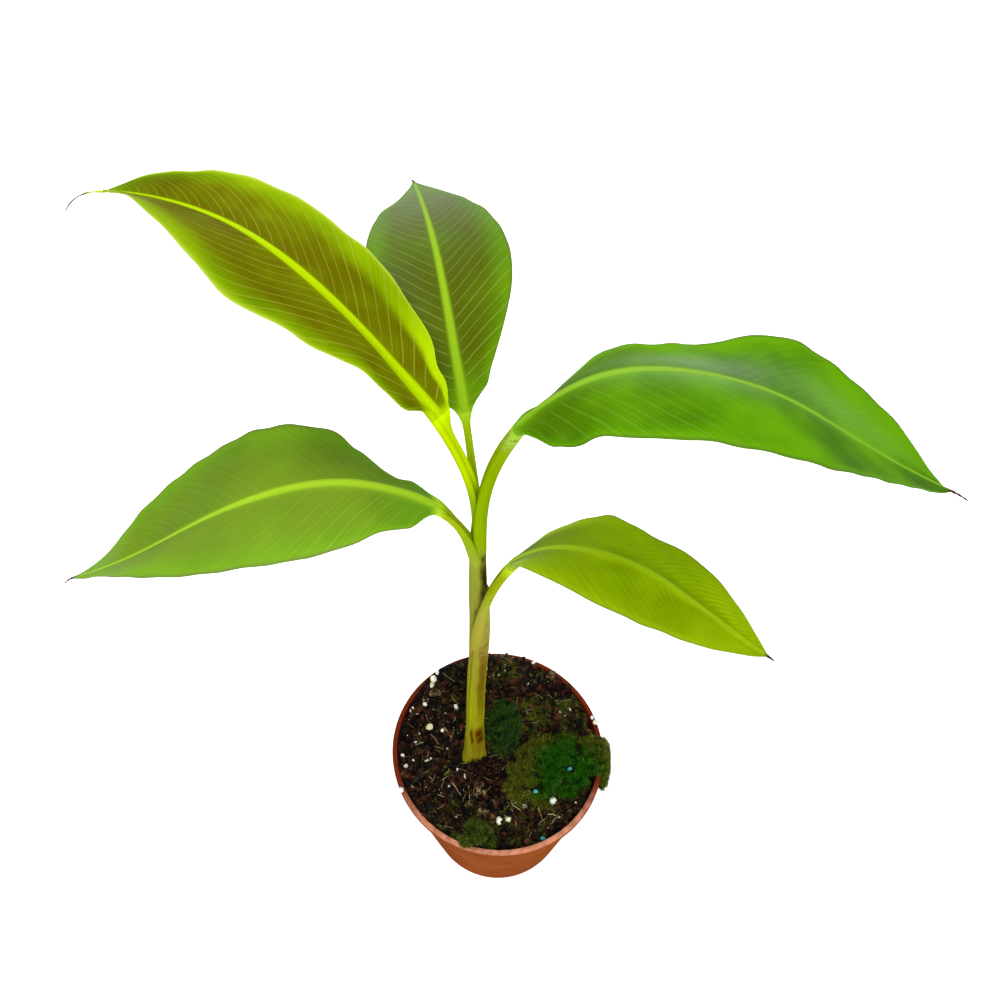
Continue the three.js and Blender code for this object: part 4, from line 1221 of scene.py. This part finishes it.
# %% Materials of the mix
def peat(name, dark, light, wet):
    material = new_material(name)
    place = add(material, "TexCoord", output="Object")
    clod = add(material, "TexNoise", {
        "Vector": place, "Scale": grain_scale(3.8), "Detail": 6.0, "Roughness": 0.65})
    luck = add(material, "Attribute", output="Fac", attribute_name="luck")
    luck = add(material, "Math", {0: luck, 1: 3.0}, operation="POWER")
    luck = add(material, "Math", {0: luck, 1: 0.9, 2: -0.22}, operation="MULTIPLY_ADD")
    tone = add(material, "MapRange", {0: clod, 1: 0.48, 2: 0.7, 3: 0.0, 4: 0.8})
    tone = add(material, "Math", {0: tone, 1: luck}, operation="ADD", use_clamp=True)
    colour = add(material, "Mix", {0: tone, 6: dark, 7: light}, 2, data_type="RGBA")
    film = add(material, "TexNoise", {"Vector": place, "Scale": grain_scale(2.4), "Detail": 2.0})
    rough = add(material, "MapRange", {0: film, 1: 0.36, 2: 0.5, 3: wet, 4: 0.85})
    bump = add(material, "Bump", {"Height": clod, "Strength": 0.9, "Distance": 1.2 * MM})
    surface = add(material, "BsdfPrincipled", {
        "Base Color": colour, "Roughness": rough, "IOR": 1.4, "Normal": bump, "Specular IOR Level": 0.2})
    add(material, "OutputMaterial", {"Surface": surface})
    return material


def expanded_perlite():
    """Popped volcanic glass: white, chalky and faintly translucent, with pores 0.4 mm wide."""
    material = new_material("expanded_perlite")
    place = add(material, "TexCoord", output="Object")
    pores = add(material, "TexVoronoi", {"Vector": place, "Scale": grain_scale(0.38)})
    stain = add(material, "TexNoise", {"Vector": place, "Scale": grain_scale(8.3), "Detail": 2.0})
    stain = add(material, "MapRange", {0: stain, 1: 0.46, 2: 0.62, 3: 0.0, 4: 0.85})
    colour = add(material, "Mix", {0: stain, 6: "#F6F4EC", 7: "#D0CC80"}, 2, data_type="RGBA")
    bump = add(material, "Bump", {"Height": pores, "Strength": 0.4, "Distance": 0.3 * MM})
    surface = add(material, "BsdfPrincipled", {
        "Base Color": colour, "Roughness": 0.7, "IOR": 1.5, "Normal": bump,
        "Subsurface Weight": 0.2, "Subsurface Radius": (1.0, 0.9, 0.8), "Subsurface Scale": 1 * MM})
    add(material, "OutputMaterial", {"Surface": surface})
    return material


# %% Lay the bed
bed = make_bed()
write_value(bed.data, "luck", np.full(len(bed.data.vertices), 0.3))
bed.data.materials.append(peat("wet_peat", "#090302", "#3A2014", 0.12))
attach(bed, "root")
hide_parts("soil")
print("bed faces:", len(bed.data.polygons))


# %% [markdown]
# ## Small things, modelled once and copied
# Crumbs, fibres and moss shoots lie about in their hundreds. Each is modelled once, with few faces, and
# one helper sets its copies at their places, each with its own turn, size and luck, and joins them. A
# copy's luck is a number from 0 to 1, which its material turns to a lighter or darker tone.

# %% Copies of one model
def strew(name, models, places, material):
    """Models are finished meshes in mm round the origin. A place is a point, a turn and a scale."""
    shapes = [(read_points(m.data), [tuple(face.vertices) for face in m.data.polygons]) for m in models]
    points, faces, luck = [], [], []
    count = 0
    for index, (point, turn, scale) in enumerate(places):
        shape, shape_faces = shapes[index % len(shapes)]
        matrix = np.array(Euler(turn).to_matrix()) * scale
        points.append(shape @ matrix.T + np.asarray(point))
        faces.extend(tuple(v + count for v in face) for face in shape_faces)
        count += len(shape)
        luck.append(np.full(len(shape), (index * 0.618) % 1))
    mesh = bpy.data.meshes.new(name)
    mesh.from_pydata((np.concatenate(points) * MM).tolist(), [], faces)
    mesh.materials.append(material)
    write_value(mesh, "crest", np.ones(count))
    write_value(mesh, "luck", np.concatenate(luck))
    piece = bpy.data.objects.new(name, mesh)
    bpy.context.scene.collection.objects.link(piece)
    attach(piece, "root")
    print(name, len(places), "copies,", len(mesh.polygons), "faces")
    return piece


# %% Lumps and fibres
def put_away(models):
    for model in models:
        bpy.data.objects.remove(model)


def rough_ball(level, squash, unevenness, seed):
    """A lump a millimetre in radius: an icosphere whose points are moved in and out, then flattened."""
    draw = random.Random(seed)
    bpy.ops.object.select_all(action="DESELECT")
    bpy.ops.mesh.primitive_ico_sphere_add(subdivisions=level, radius=1, location=(0, 0, 0))
    ball = bpy.context.active_object
    points = read_points(ball.data)
    factors = np.array([1 + unevenness * draw.uniform(-1, 1) for _ in points])
    write_points(ball.data, points * factors[:, None] * np.array(squash))
    return ball


def bent_fibre(sides, length, radius, bow, seed):
    """A hair of bark: a thin rod drawn out in steps along a wandering line."""
    draw = random.Random(seed)
    bpy.ops.object.select_all(action="DESELECT")
    bpy.ops.mesh.primitive_circle_add(vertices=sides, radius=radius, fill_type="NGON",
                                      location=(-length / 2, 0, 0), rotation=(0, math.pi / 2, 0))
    fibre = bpy.context.active_object
    bpy.ops.object.transform_apply(location=True, rotation=True, scale=True)
    bpy.ops.object.mode_set(mode="EDIT")
    bpy.ops.mesh.select_all(action="SELECT")
    steps = 5
    for step in range(steps):
        rise = bow * length / steps * math.cos(math.pi * (step + 0.5) / steps)
        move = (length / steps, draw.uniform(-0.25, 0.25) * length / steps, rise)
        bpy.ops.mesh.extrude_region_move(TRANSFORM_OT_translate={"value": move})
    bpy.ops.mesh.select_all(action="SELECT")
    bpy.ops.mesh.normals_make_consistent(inside=False)
    bpy.ops.object.mode_set(mode="OBJECT")
    return fibre


# %% Random places on the mix
# How far they stay from the middle of the stem, in mm.
STEM_CLEARANCE = 7


def scatter_on_mix(draw, number, reach, smallest, largest, sunk=0.3, tilt=math.pi):
    """Places up to reach mm from the middle, clear of the stem, for pieces most of which are small."""
    places = []
    while len(places) < number:
        x, y = draw.uniform(-reach, reach), draw.uniform(-reach, reach)
        if math.hypot(x, y) > reach or from_stem(x, y) < STEM_CLEARANCE:
            continue
        scale = smallest + (largest - smallest) * draw.random() ** 3
        turn = (draw.uniform(-tilt, tilt), draw.uniform(-tilt, tilt), draw.uniform(0, 2 * math.pi))
        places.append((on_mix(x, y, scale * (1 - 2 * sunk) / 2), turn, scale))
    return places


def any_turn(draw):
    return draw.uniform(0, 6), draw.uniform(0, 6), draw.uniform(0, 6)


# %% [markdown]
# The crumbs are broken peat and bark. They could be a bump in the material, but the crumbs of a real mix
# cast shadows and stand out at the edge, so they are meshes. Some larger lumps of bark have broken up
# where they lie, and debris is heaped against the front of the stem.

# %% Crumbs and bark scraps
draw = random.Random(7)
crumbs = [rough_ball(1, (1, 0.8, 0.6), 0.35, seed) for seed in range(4)]
dark_crumb = peat("peat_crumb", "#0C0503", "#502814", 0.1)
pine_bark = peat("pine_bark", "#241006", "#684020", 0.25)
strew("peat_crumbs", crumbs, scatter_on_mix(draw, 3400, 56, 0.5, 3.2), dark_crumb)
strew("bark_scraps", crumbs, scatter_on_mix(draw, 380, 55, 0.8, 3.6), pine_bark)
put_away(crumbs)

# %% Broken lumps of bark
BARK_PIECES = 26
# Each lump is in that many pieces, round a place on the mix: x, y and size.
LUMPS = [(-10, -23, 4.2), (-9, -37, 3.6), (-36, 34, 4.0), (32, 44, 3.4), (-15, -31, 2.8), (-3, -30, 2.4)]
lumps = [rough_ball(2, (1, 0.7, 0.55), 0.28, seed) for seed in range(3)]
broken_bark = []
for x, y, size in LUMPS:
    for _ in range(BARK_PIECES):
        shift = Vector([draw.gauss(0, 0.38 * size) for _ in range(3)])
        height = float(mix_height(x, y)) + 0.3 * size + 0.5 * shift.z
        place = (x + shift.x, y + shift.y, height)
        broken_bark.append((place, any_turn(draw), size * draw.uniform(0.2, 0.42)))
strew("bark_lumps", lumps, broken_bark, peat("weathered_bark", "#46341E", "#A88C64", 0.5))

# %% Debris against the front of the stem
# How many pieces are tried, where the heap is, how far it reaches, how high it is and how far it stays
# from the middle of the stem, in mm.
HEAP_PIECES = 620
HEAP_MIDDLE = (-8.8, -9.2)
HEAP_REACH = 8
HEAP_HEIGHT = 9.5
HEAP_CLEARANCE = 6.56
heap = []
for _ in range(HEAP_PIECES):
    away = HEAP_REACH * math.sqrt(draw.random())
    turn = draw.uniform(0, 2 * math.pi)
    x = HEAP_MIDDLE[0] + 1.1 * away * math.cos(turn)
    y = HEAP_MIDDLE[1] + 0.75 * away * math.sin(turn)
    if from_stem(x, y) > HEAP_CLEARANCE:
        place = on_mix(x, y, draw.uniform(0, HEAP_HEIGHT) * (1 - (away / HEAP_REACH) ** 2))
        heap.append((place, (draw.uniform(0, 6), draw.uniform(0, 6), turn), draw.uniform(0.5, 1.4)))
strew("foot_debris", lumps, heap, dark_crumb)
put_away(lumps)


# %% [markdown]
# Flat olive scraps of old moss lie all over the mix, and thickest at the back left. The straw-coloured
# hairs are torn from bark, and are modelled as thin three-sided fibres.

# %% Scraps and fibres
scraps = [rough_ball(1, (1, 0.7, 0.16), 0.4, seed) for seed in range(4, 8)]
olive = scatter_on_mix(draw, 420, 55, 0.9, 3.2, sunk=0.2, tilt=0.7)
back_left = scatter_on_mix(draw, 900, 58, 1.2, 3.6, sunk=0.1, tilt=0.9)
olive += [place for place in back_left if place[0][1] > 38 and place[0][0] < 30]
strew("moss_scraps", scraps, olive, peat("old_moss", "#1E1C08", "#5A5A20", 0.45))
put_away(scraps)

hairs = [bent_fibre(3, 9, 0.16, 0.18, seed) for seed in range(4)]
strew("straw_fibres", hairs, scatter_on_mix(draw, 420, 54, 0.35, 1.1, sunk=-0.7, tilt=0.6),
      peat("dry_straw", "#8E7646", "#E0CCA0", 0.5))
put_away(hairs)


# %% [markdown]
# Perlite is what shows most on the dark mix, so its large grains are set one by one where they lie on
# the real plant, with smaller ones strewn between them. The few teal pellets of fertiliser are set one
# by one too.

# %% Perlite
# Grains that stand out on the real mix: x, y and how far across each is.
PERLITE = [
    (-38, 40, 4.5), (-50, 23, 4), (-43, 27, 3), (-40, 15, 5), (-32, 13, 3), (-46, 10, 2.5), (-48, 5, 2.5),
    (-25, 27, 4), (-54, -4, 3), (-49, -7, 4), (-52, -10, 3), (-40, -6, 3), (-23, -11, 3), (-18, -15, 3),
    (-9, -46, 6), (1, -40, 4.5), (6, -39, 4.5), (11, -29, 4), (31, -29, 5), (15, -32, 4), (15, -9, 3),
    (6, -25, 3), (22, 53, 3), (43, 25, 2.5), (-36, 44, 3), (-39, 37, 4),
]
grains = [rough_ball(2, (1, 0.85, 0.75), 0.16, seed) for seed in range(5)]
set_grains = [(on_mix(x, y, 0.2 * across), (x, y, x + y), across / 2) for x, y, across in PERLITE]
# Grains that lie on the lip and on the moss: x, y, z and radius.
RAISED_GRAINS = [(-53.5, -25.5, POT_HEIGHT + 1.2, 2.0), (-9.7, -46.5, POT_HEIGHT + 1.5, 2.4),
                 (57.0, 14.5, POT_HEIGHT + 1.2, 1.8), (55.0, 17.5, POT_HEIGHT + 0.8, 1.1)]
set_grains += [((x, y, z), (0.4, 0.2, x), size) for x, y, z, size in RAISED_GRAINS]
small_grains = scatter_on_mix(draw, 260, 55, 0.22, 0.9)
strew("perlite", grains, set_grains + small_grains, expanded_perlite())


# %% Fertiliser pellets
def coated_pellet():
    """Slow-release fertiliser: a glossy teal resin shell round a grain, scuffed in fine specks."""
    material = new_material("resin_coated_fertiliser")
    place = add(material, "TexCoord", output="Object")
    scuff = add(material, "TexNoise", {"Vector": place, "Scale": grain_scale(0.55), "Detail": 2.0})
    colour = add(material, "Mix", {0: scuff, 6: "#0E7C86", 7: "#4FC2C8"}, 2, data_type="RGBA")
    surface = add(material, "BsdfPrincipled", {"Base Color": colour, "Roughness": 0.25, "IOR": 1.5})
    add(material, "OutputMaterial", {"Surface": surface})
    return material


# x, y and how far above the mix, because two of them lie on the moss.
PELLETS = [(40.5, -13, 7.5), (21, -25.6, 7.0), (24.7, -50, 1.0)]
PELLET_RADIUS = 1.4
pellets = [(on_mix(x, y, raised), (x, y, 0), PELLET_RADIUS) for x, y, raised in PELLETS]
strew("fertiliser_pellets", grains[:1], pellets, coated_pellet())
put_away(grains)


# %% [markdown]
# ## Moss
# Moss has spread over the right of the mix and over the lip, and grows in a strip behind the stem and a
# tuft at the front. A cushion is a few merged mounds, and its surface is thick with shoots: each shoot
# is a stalk ringed with narrow pointed leaves, deep green low down and pale at the tips.

# %% The mounds
# Each mound: x and y of its middle, then its reaches along x, y and z.
MOSS_MOUNDS = {
    "moss_right": [(36, -9, 27, 19, 9), (20, -18, 17, 16, 7), (57, -6, 7, 17, 12)],
    "moss_back": [(4, 14, 10, 18, 6)],
    "moss_front": [(-13, -50, 12, 8.5, 12)],
}
# The mounds start smaller than the CAD ones, because shoots and swellings are added to them.
MOUND_SHRINK = 0.92
# How far outside the rim's edge moss hangs, and how far below the lip's top its underside lies.
MOSS_OVERHANG = 1.8
MOSS_HANG = 4.5


def make_cushion(node, mounds):
    """The mounds of one cushion, joined, melted into one skin and roughened."""
    parts = []
    for x, y, rx, ry, rz in mounds:
        bpy.ops.object.select_all(action="DESELECT")
        bpy.ops.mesh.primitive_uv_sphere_add(segments=32, ring_count=16, radius=1, location=(0, 0, 0))
        part = bpy.context.active_object
        part.scale = [size * MOUND_SHRINK * MM for size in (rx, ry, rz)]
        part.location = (x * MM, y * MM, (SOIL_TOP + GAP) * MM)
        bpy.ops.object.transform_apply(location=True, rotation=True, scale=True)
        parts.append(part)
    for part in parts:
        part.select_set(True)
    bpy.context.view_layer.objects.active = parts[0]
    if len(parts) > 1:
        bpy.ops.object.join()
    cushion = bpy.context.active_object
    cushion.name = node + "_cushion"
    melt = cushion.modifiers.new("melt", "REMESH")
    melt.mode = "VOXEL"
    melt.voxel_size = 1.0 * MM
    bpy.ops.object.modifier_apply(modifier="melt")
    points = read_points(cushion.data) / MM
    x, y, z = points.T
    swell = 0.9 * ripple(x, y + z, 9, 5) + 0.8 * ripple(x + z, y, 5, 6) + 0.5 * ripple(x - z, y, 2.8, 7)
    normals = np.array([v.normal for v in cushion.data.vertices])
    points = keep_off_the_pot(points + normals * swell[:, None])
    write_points(cushion.data, points * MM)
    write_value(cushion.data, "crest", smoothstep(swell, -0.4, 1.2))
    write_value(cushion.data, "luck", np.full(len(swell), 0.4))
    bpy.ops.object.shade_smooth()
    return cushion


# %% Keep the moss off the wall
def keep_off_the_pot(points):
    """Below the lip's top, moss stays inside the wall, or hangs just outside the lip at the right."""
    x, y, z = points.T
    share = oval_share(x, y, z)
    reach = np.hypot(x, y) / share
    inner = np.minimum(POT_RIM_RADIUS - LIP_WIDTH, wall_radius(z) - POT_WALL) - 0.3
    low = (reach > inner) & (z < POT_HEIGHT + GAP)
    beside_wall = low & ((reach < POT_RIM_RADIUS + 0.4) | (x < 30))
    pulled = np.where(beside_wall, inner / np.maximum(reach, 1), 1)
    outermost = POT_RIM_RADIUS + MOSS_OVERHANG
    pulled = np.where(reach > outermost, outermost / np.maximum(reach, 1), pulled)
    hanging = (reach >= POT_RIM_RADIUS + 0.4) & (z < POT_HEIGHT - MOSS_HANG)
    z = np.where(hanging, POT_HEIGHT - MOSS_HANG + 0.1 * (z - POT_HEIGHT + MOSS_HANG), z)
    return np.stack([x * pulled, y * pulled, z], axis=-1)


# %% One shoot of moss
def make_shoot(leaves, seed):
    """A moss shoot 2.5 mm high: three-sided spikes that lean out all round a stalk."""
    draw = random.Random(seed)
    spikes = []
    for index in range(leaves):
        lean = 0.15 if index == 0 else draw.uniform(0.5, 1.0)
        turn = 2.4 * index + draw.uniform(-0.3, 0.3)
        tall = 2.6 if index == 0 else draw.uniform(1.1, 2.0)
        bpy.ops.object.select_all(action="DESELECT")
        bpy.ops.mesh.primitive_cone_add(vertices=3, radius1=0.19, depth=tall, location=(0, 0, tall / 2))
        spike = bpy.context.active_object
        bpy.ops.object.mode_set(mode="EDIT")
        bpy.ops.mesh.select_all(action="SELECT")
        bpy.ops.mesh.quads_convert_to_tris()
        bpy.ops.object.mode_set(mode="OBJECT")
        matrix = Matrix.Rotation(turn, 4, "Z") @ Matrix.Rotation(lean, 4, "Y")
        spike.data.transform(Matrix.Translation((0, 0, tall / 2)))
        spike.data.transform(matrix @ Matrix.Translation((0, 0, 0.15 * index)))
        spike.matrix_world = Matrix.Identity(4)
        spikes.append(spike)
    for spike in spikes:
        spike.select_set(True)
    bpy.context.view_layer.objects.active = spikes[0]
    bpy.ops.object.join()
    return bpy.context.active_object


# %% [markdown]
# Moss leaves are one cell thick: matt, with light coming through. They stay green where they stay wet,
# which is at the core of the right cushion, and turn olive some 25 mm away from it. Some shoots and the
# gaps between clumps are painted near black as shade, patches of clumps get a painted highlight, and
# some shoots are pale at the tips, most of them away from the core.

# %% The moss material
# Where the core is, and how far from it the shoots turn olive: from and to, and how much that varies, in
# mm.
MOSS_CORE = (39, -13, 104)
OLIVE_FROM, OLIVE_TO, OLIVE_VARIES = 24, 41, 26


def moss(name, deep, green, edge, pale, tips_share):
    """Deep is the colour low down, green and edge those near and far from the core, pale that of the tips and
    of the painted highlight.
    """
    material = new_material(name)
    place = add(material, "TexCoord", output="Object")
    middle = [value * MM for value in MOSS_CORE]
    core = add(material, "VectorMath", {0: place, 1: middle}, "Value", operation="DISTANCE")
    patch = add(material, "TexNoise", {"Vector": place, "Scale": grain_scale(9), "Detail": 3.0})
    patch = add(material, "Math", {0: patch, 1: OLIVE_VARIES * MM, 2: core}, operation="MULTIPLY_ADD")
    dryness = add(material, "MapRange", {
        0: patch, 1: OLIVE_FROM * MM, 2: OLIVE_TO * MM, 3: 0.0, 4: 1.0}, interpolation_type="SMOOTHSTEP")
    colour = add(material, "Mix", {0: dryness, 6: green, 7: edge}, 2, data_type="RGBA")
    crest = add(material, "Attribute", output="Fac", attribute_name="crest")
    colour = add(material, "Mix", {0: crest, 6: deep, 7: colour}, 2, data_type="RGBA")
    luck = add(material, "Attribute", output="Fac", attribute_name="luck")
    # Painted shade: some shoots, and patches between clumps, are darkened near black.
    painted_shade_shoots = add(material, "MapRange", {0: luck, 1: 0.0, 2: 0.45, 3: 0.6, 4: 0.0})
    colour = add(material, "Mix", {0: painted_shade_shoots, 6: colour, 7: "#070C03"}, 2, data_type="RGBA")
    clump = add(material, "TexNoise", {"Vector": place, "Scale": grain_scale(4.3), "Detail": 2.0})
    painted_shade_gaps = add(material, "MapRange", {0: clump, 1: 0.36, 2: 0.46, 3: 0.75, 4: 0.0})
    colour = add(material, "Mix", {0: painted_shade_gaps, 6: colour, 7: "#070C03"}, 2, data_type="RGBA")
    # A painted highlight: patches of clumps are lightened towards the pale colour.
    bright = add(material, "MapRange", {0: clump, 1: 0.55, 2: 0.68, 3: 0.0, 4: 0.6})
    colour = add(material, "Mix", {0: bright, 6: colour, 7: pale}, 2,
                 data_type="RGBA", blend_type="SOFT_LIGHT")
    speck = add(material, "TexNoise", {"Vector": place, "Scale": grain_scale(1.43), "Detail": 2.0})
    speck = add(material, "MapRange", {0: speck, 1: 0.4, 2: 0.62, 3: 0.0, 4: tips_share})
    pale_one = add(material, "MapRange", {0: luck, 1: 0.8, 2: 0.97, 3: 0.0, 4: 1.0})
    speck = add(material, "Math", {0: speck, 1: pale_one}, operation="MULTIPLY")
    near = add(material, "MapRange", {0: dryness, 1: 0.0, 2: 1.0, 3: 0.25, 4: 1.0})
    speck = add(material, "Math", {0: speck, 1: near}, operation="MULTIPLY")
    colour = add(material, "Mix", {0: speck, 6: colour, 7: pale}, 2, data_type="RGBA")
    surface = add(material, "BsdfPrincipled", {
        "Base Color": colour, "Roughness": 0.6, "IOR": 1.4, "Specular IOR Level": 0.15})
    through = add(material, "BsdfTranslucent", {"Color": colour})
    both = add(material, "MixShader", {0: 0.2, 1: surface, 2: through})
    add(material, "OutputMaterial", {"Surface": both})
    return material


# %% Where shoots grow on a cushion
# How much smaller the shoots are that hang outside the lip, where they would hide it.
HANGING_SIZE = 0.85


def shoots_on(cushion, number, draw):
    """Places on a cushion's crests and on what hangs outside the lip, facing as its surface does."""
    crest = np.empty(len(cushion.data.vertices), dtype=np.float32)
    cushion.data.attributes["crest"].data.foreach_get("value", crest)
    wall = (POT_RIM_RADIUS - LIP_WIDTH - 2.5) * MM
    faces = [f for f in cushion.data.polygons if f.normal.z > 0.05 and f.center.z > (SOIL_TOP + 1.5) * MM
             and crest[f.vertices[0]] > 0.15
             and (f.center.xy.length < wall or f.center.z > (POT_HEIGHT + 0.5) * MM)]
    faces += [f for f in cushion.data.polygons if f.center.xy.length > (POT_RIM_RADIUS + 0.8) * MM]
    rim = (POT_RIM_RADIUS + 0.4) * MM
    places = []
    for _ in range(number):
        face = draw.choice(faces)
        facing = (face.normal + Vector((draw.uniform(-0.9, 0.9), draw.uniform(-0.9, 0.9), 0.2))).normalized()
        turn = facing.to_track_quat("Z", "Y").to_matrix() @ Matrix.Rotation(draw.uniform(0, 6.28), 3, "Z")
        size = draw.uniform(0.6, 1.9) * (HANGING_SIZE if face.center.xy.length > rim else 1)
        places.append((np.array(face.center) / MM, tuple(turn.to_euler()), size))
    return places


# %% Where shoots stand thinly on the mix itself
CARPET_REACH = 55
CARPET_CLEARANCE = 8
# Each patch: x, y, two reaches and how many shoots are tried.
CARPET = [(31, -6, 30, 26, 1500), (24, 20, 30, 14, 1500), (2, 26, 16, 9, 350), (-26, -40, 16, 14, 500),
          (12, -42, 16, 12, 420), (38, -34, 14, 9, 260), (-30, 26, 12, 12, 120), (3, 49, 9, 6, 330),
          (25, 24, 7, 6, 260), (31, 45, 6, 4, 130), (-22, 50, 16, 6, 260), (44, 24, 10, 10, 200)]


def carpet(draw):
    places = []
    for middle_x, middle_y, reach_x, reach_y, number in CARPET:
        for _ in range(number):
            turn = draw.uniform(0, 2 * math.pi)
            away = math.sqrt(draw.random())
            x = middle_x + reach_x * away * math.cos(turn)
            y = middle_y + reach_y * away * math.sin(turn)
            clump = ripple(x, y, 13, 9)
            if math.hypot(x, y) > CARPET_REACH or from_stem(x, y) < CARPET_CLEARANCE:
                continue
            if draw.uniform(-0.7, 0.5) > clump:
                continue
            tilt = (draw.uniform(-0.7, 0.7), draw.uniform(-0.7, 0.7), turn)
            places.append((on_mix(x, y, -0.2), tilt, draw.uniform(0.6, 1.5)))
    return places


# %% Grow the moss
# Each cushion's deep, green, edge and pale colours, and how many shoots it has.
MOSS_COLOURS = {
    "moss_right": ("#1A1C08", "#2C760C", "#6C701A", "#C0C85C"),
    "moss_back": ("#0A1406", "#2E5A16", "#3A6020", "#8A9C48"),
    "moss_front": ("#141606", "#4E6418", "#5A6C20", "#9EAA4C"),
}
SHOOTS = {"moss_right": 5200, "moss_back": 1000, "moss_front": 700}
draw = random.Random(11)
shoot_models = [make_shoot(6, seed) for seed in range(4)]
for node, mounds in MOSS_MOUNDS.items():
    cushion = make_cushion(node, mounds)
    deep, green, edge, pale = MOSS_COLOURS[node]
    cushion.data.materials.append(moss(node + "_mat", deep, green, edge, pale, 0.2))
    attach(cushion, "root")
    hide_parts(node)
    strew(node + "_shoots", shoot_models, shoots_on(cushion, SHOOTS[node], draw),
          moss(node + "_shoot", green, green, edge, pale, 0.9))
young_moss = moss("young_moss", "#3A4612", "#3C6A14", "#626C1E", "#BCC45C", 0.9)
strew("moss_carpet", shoot_models, carpet(draw), young_moss)
put_away(shoot_models)
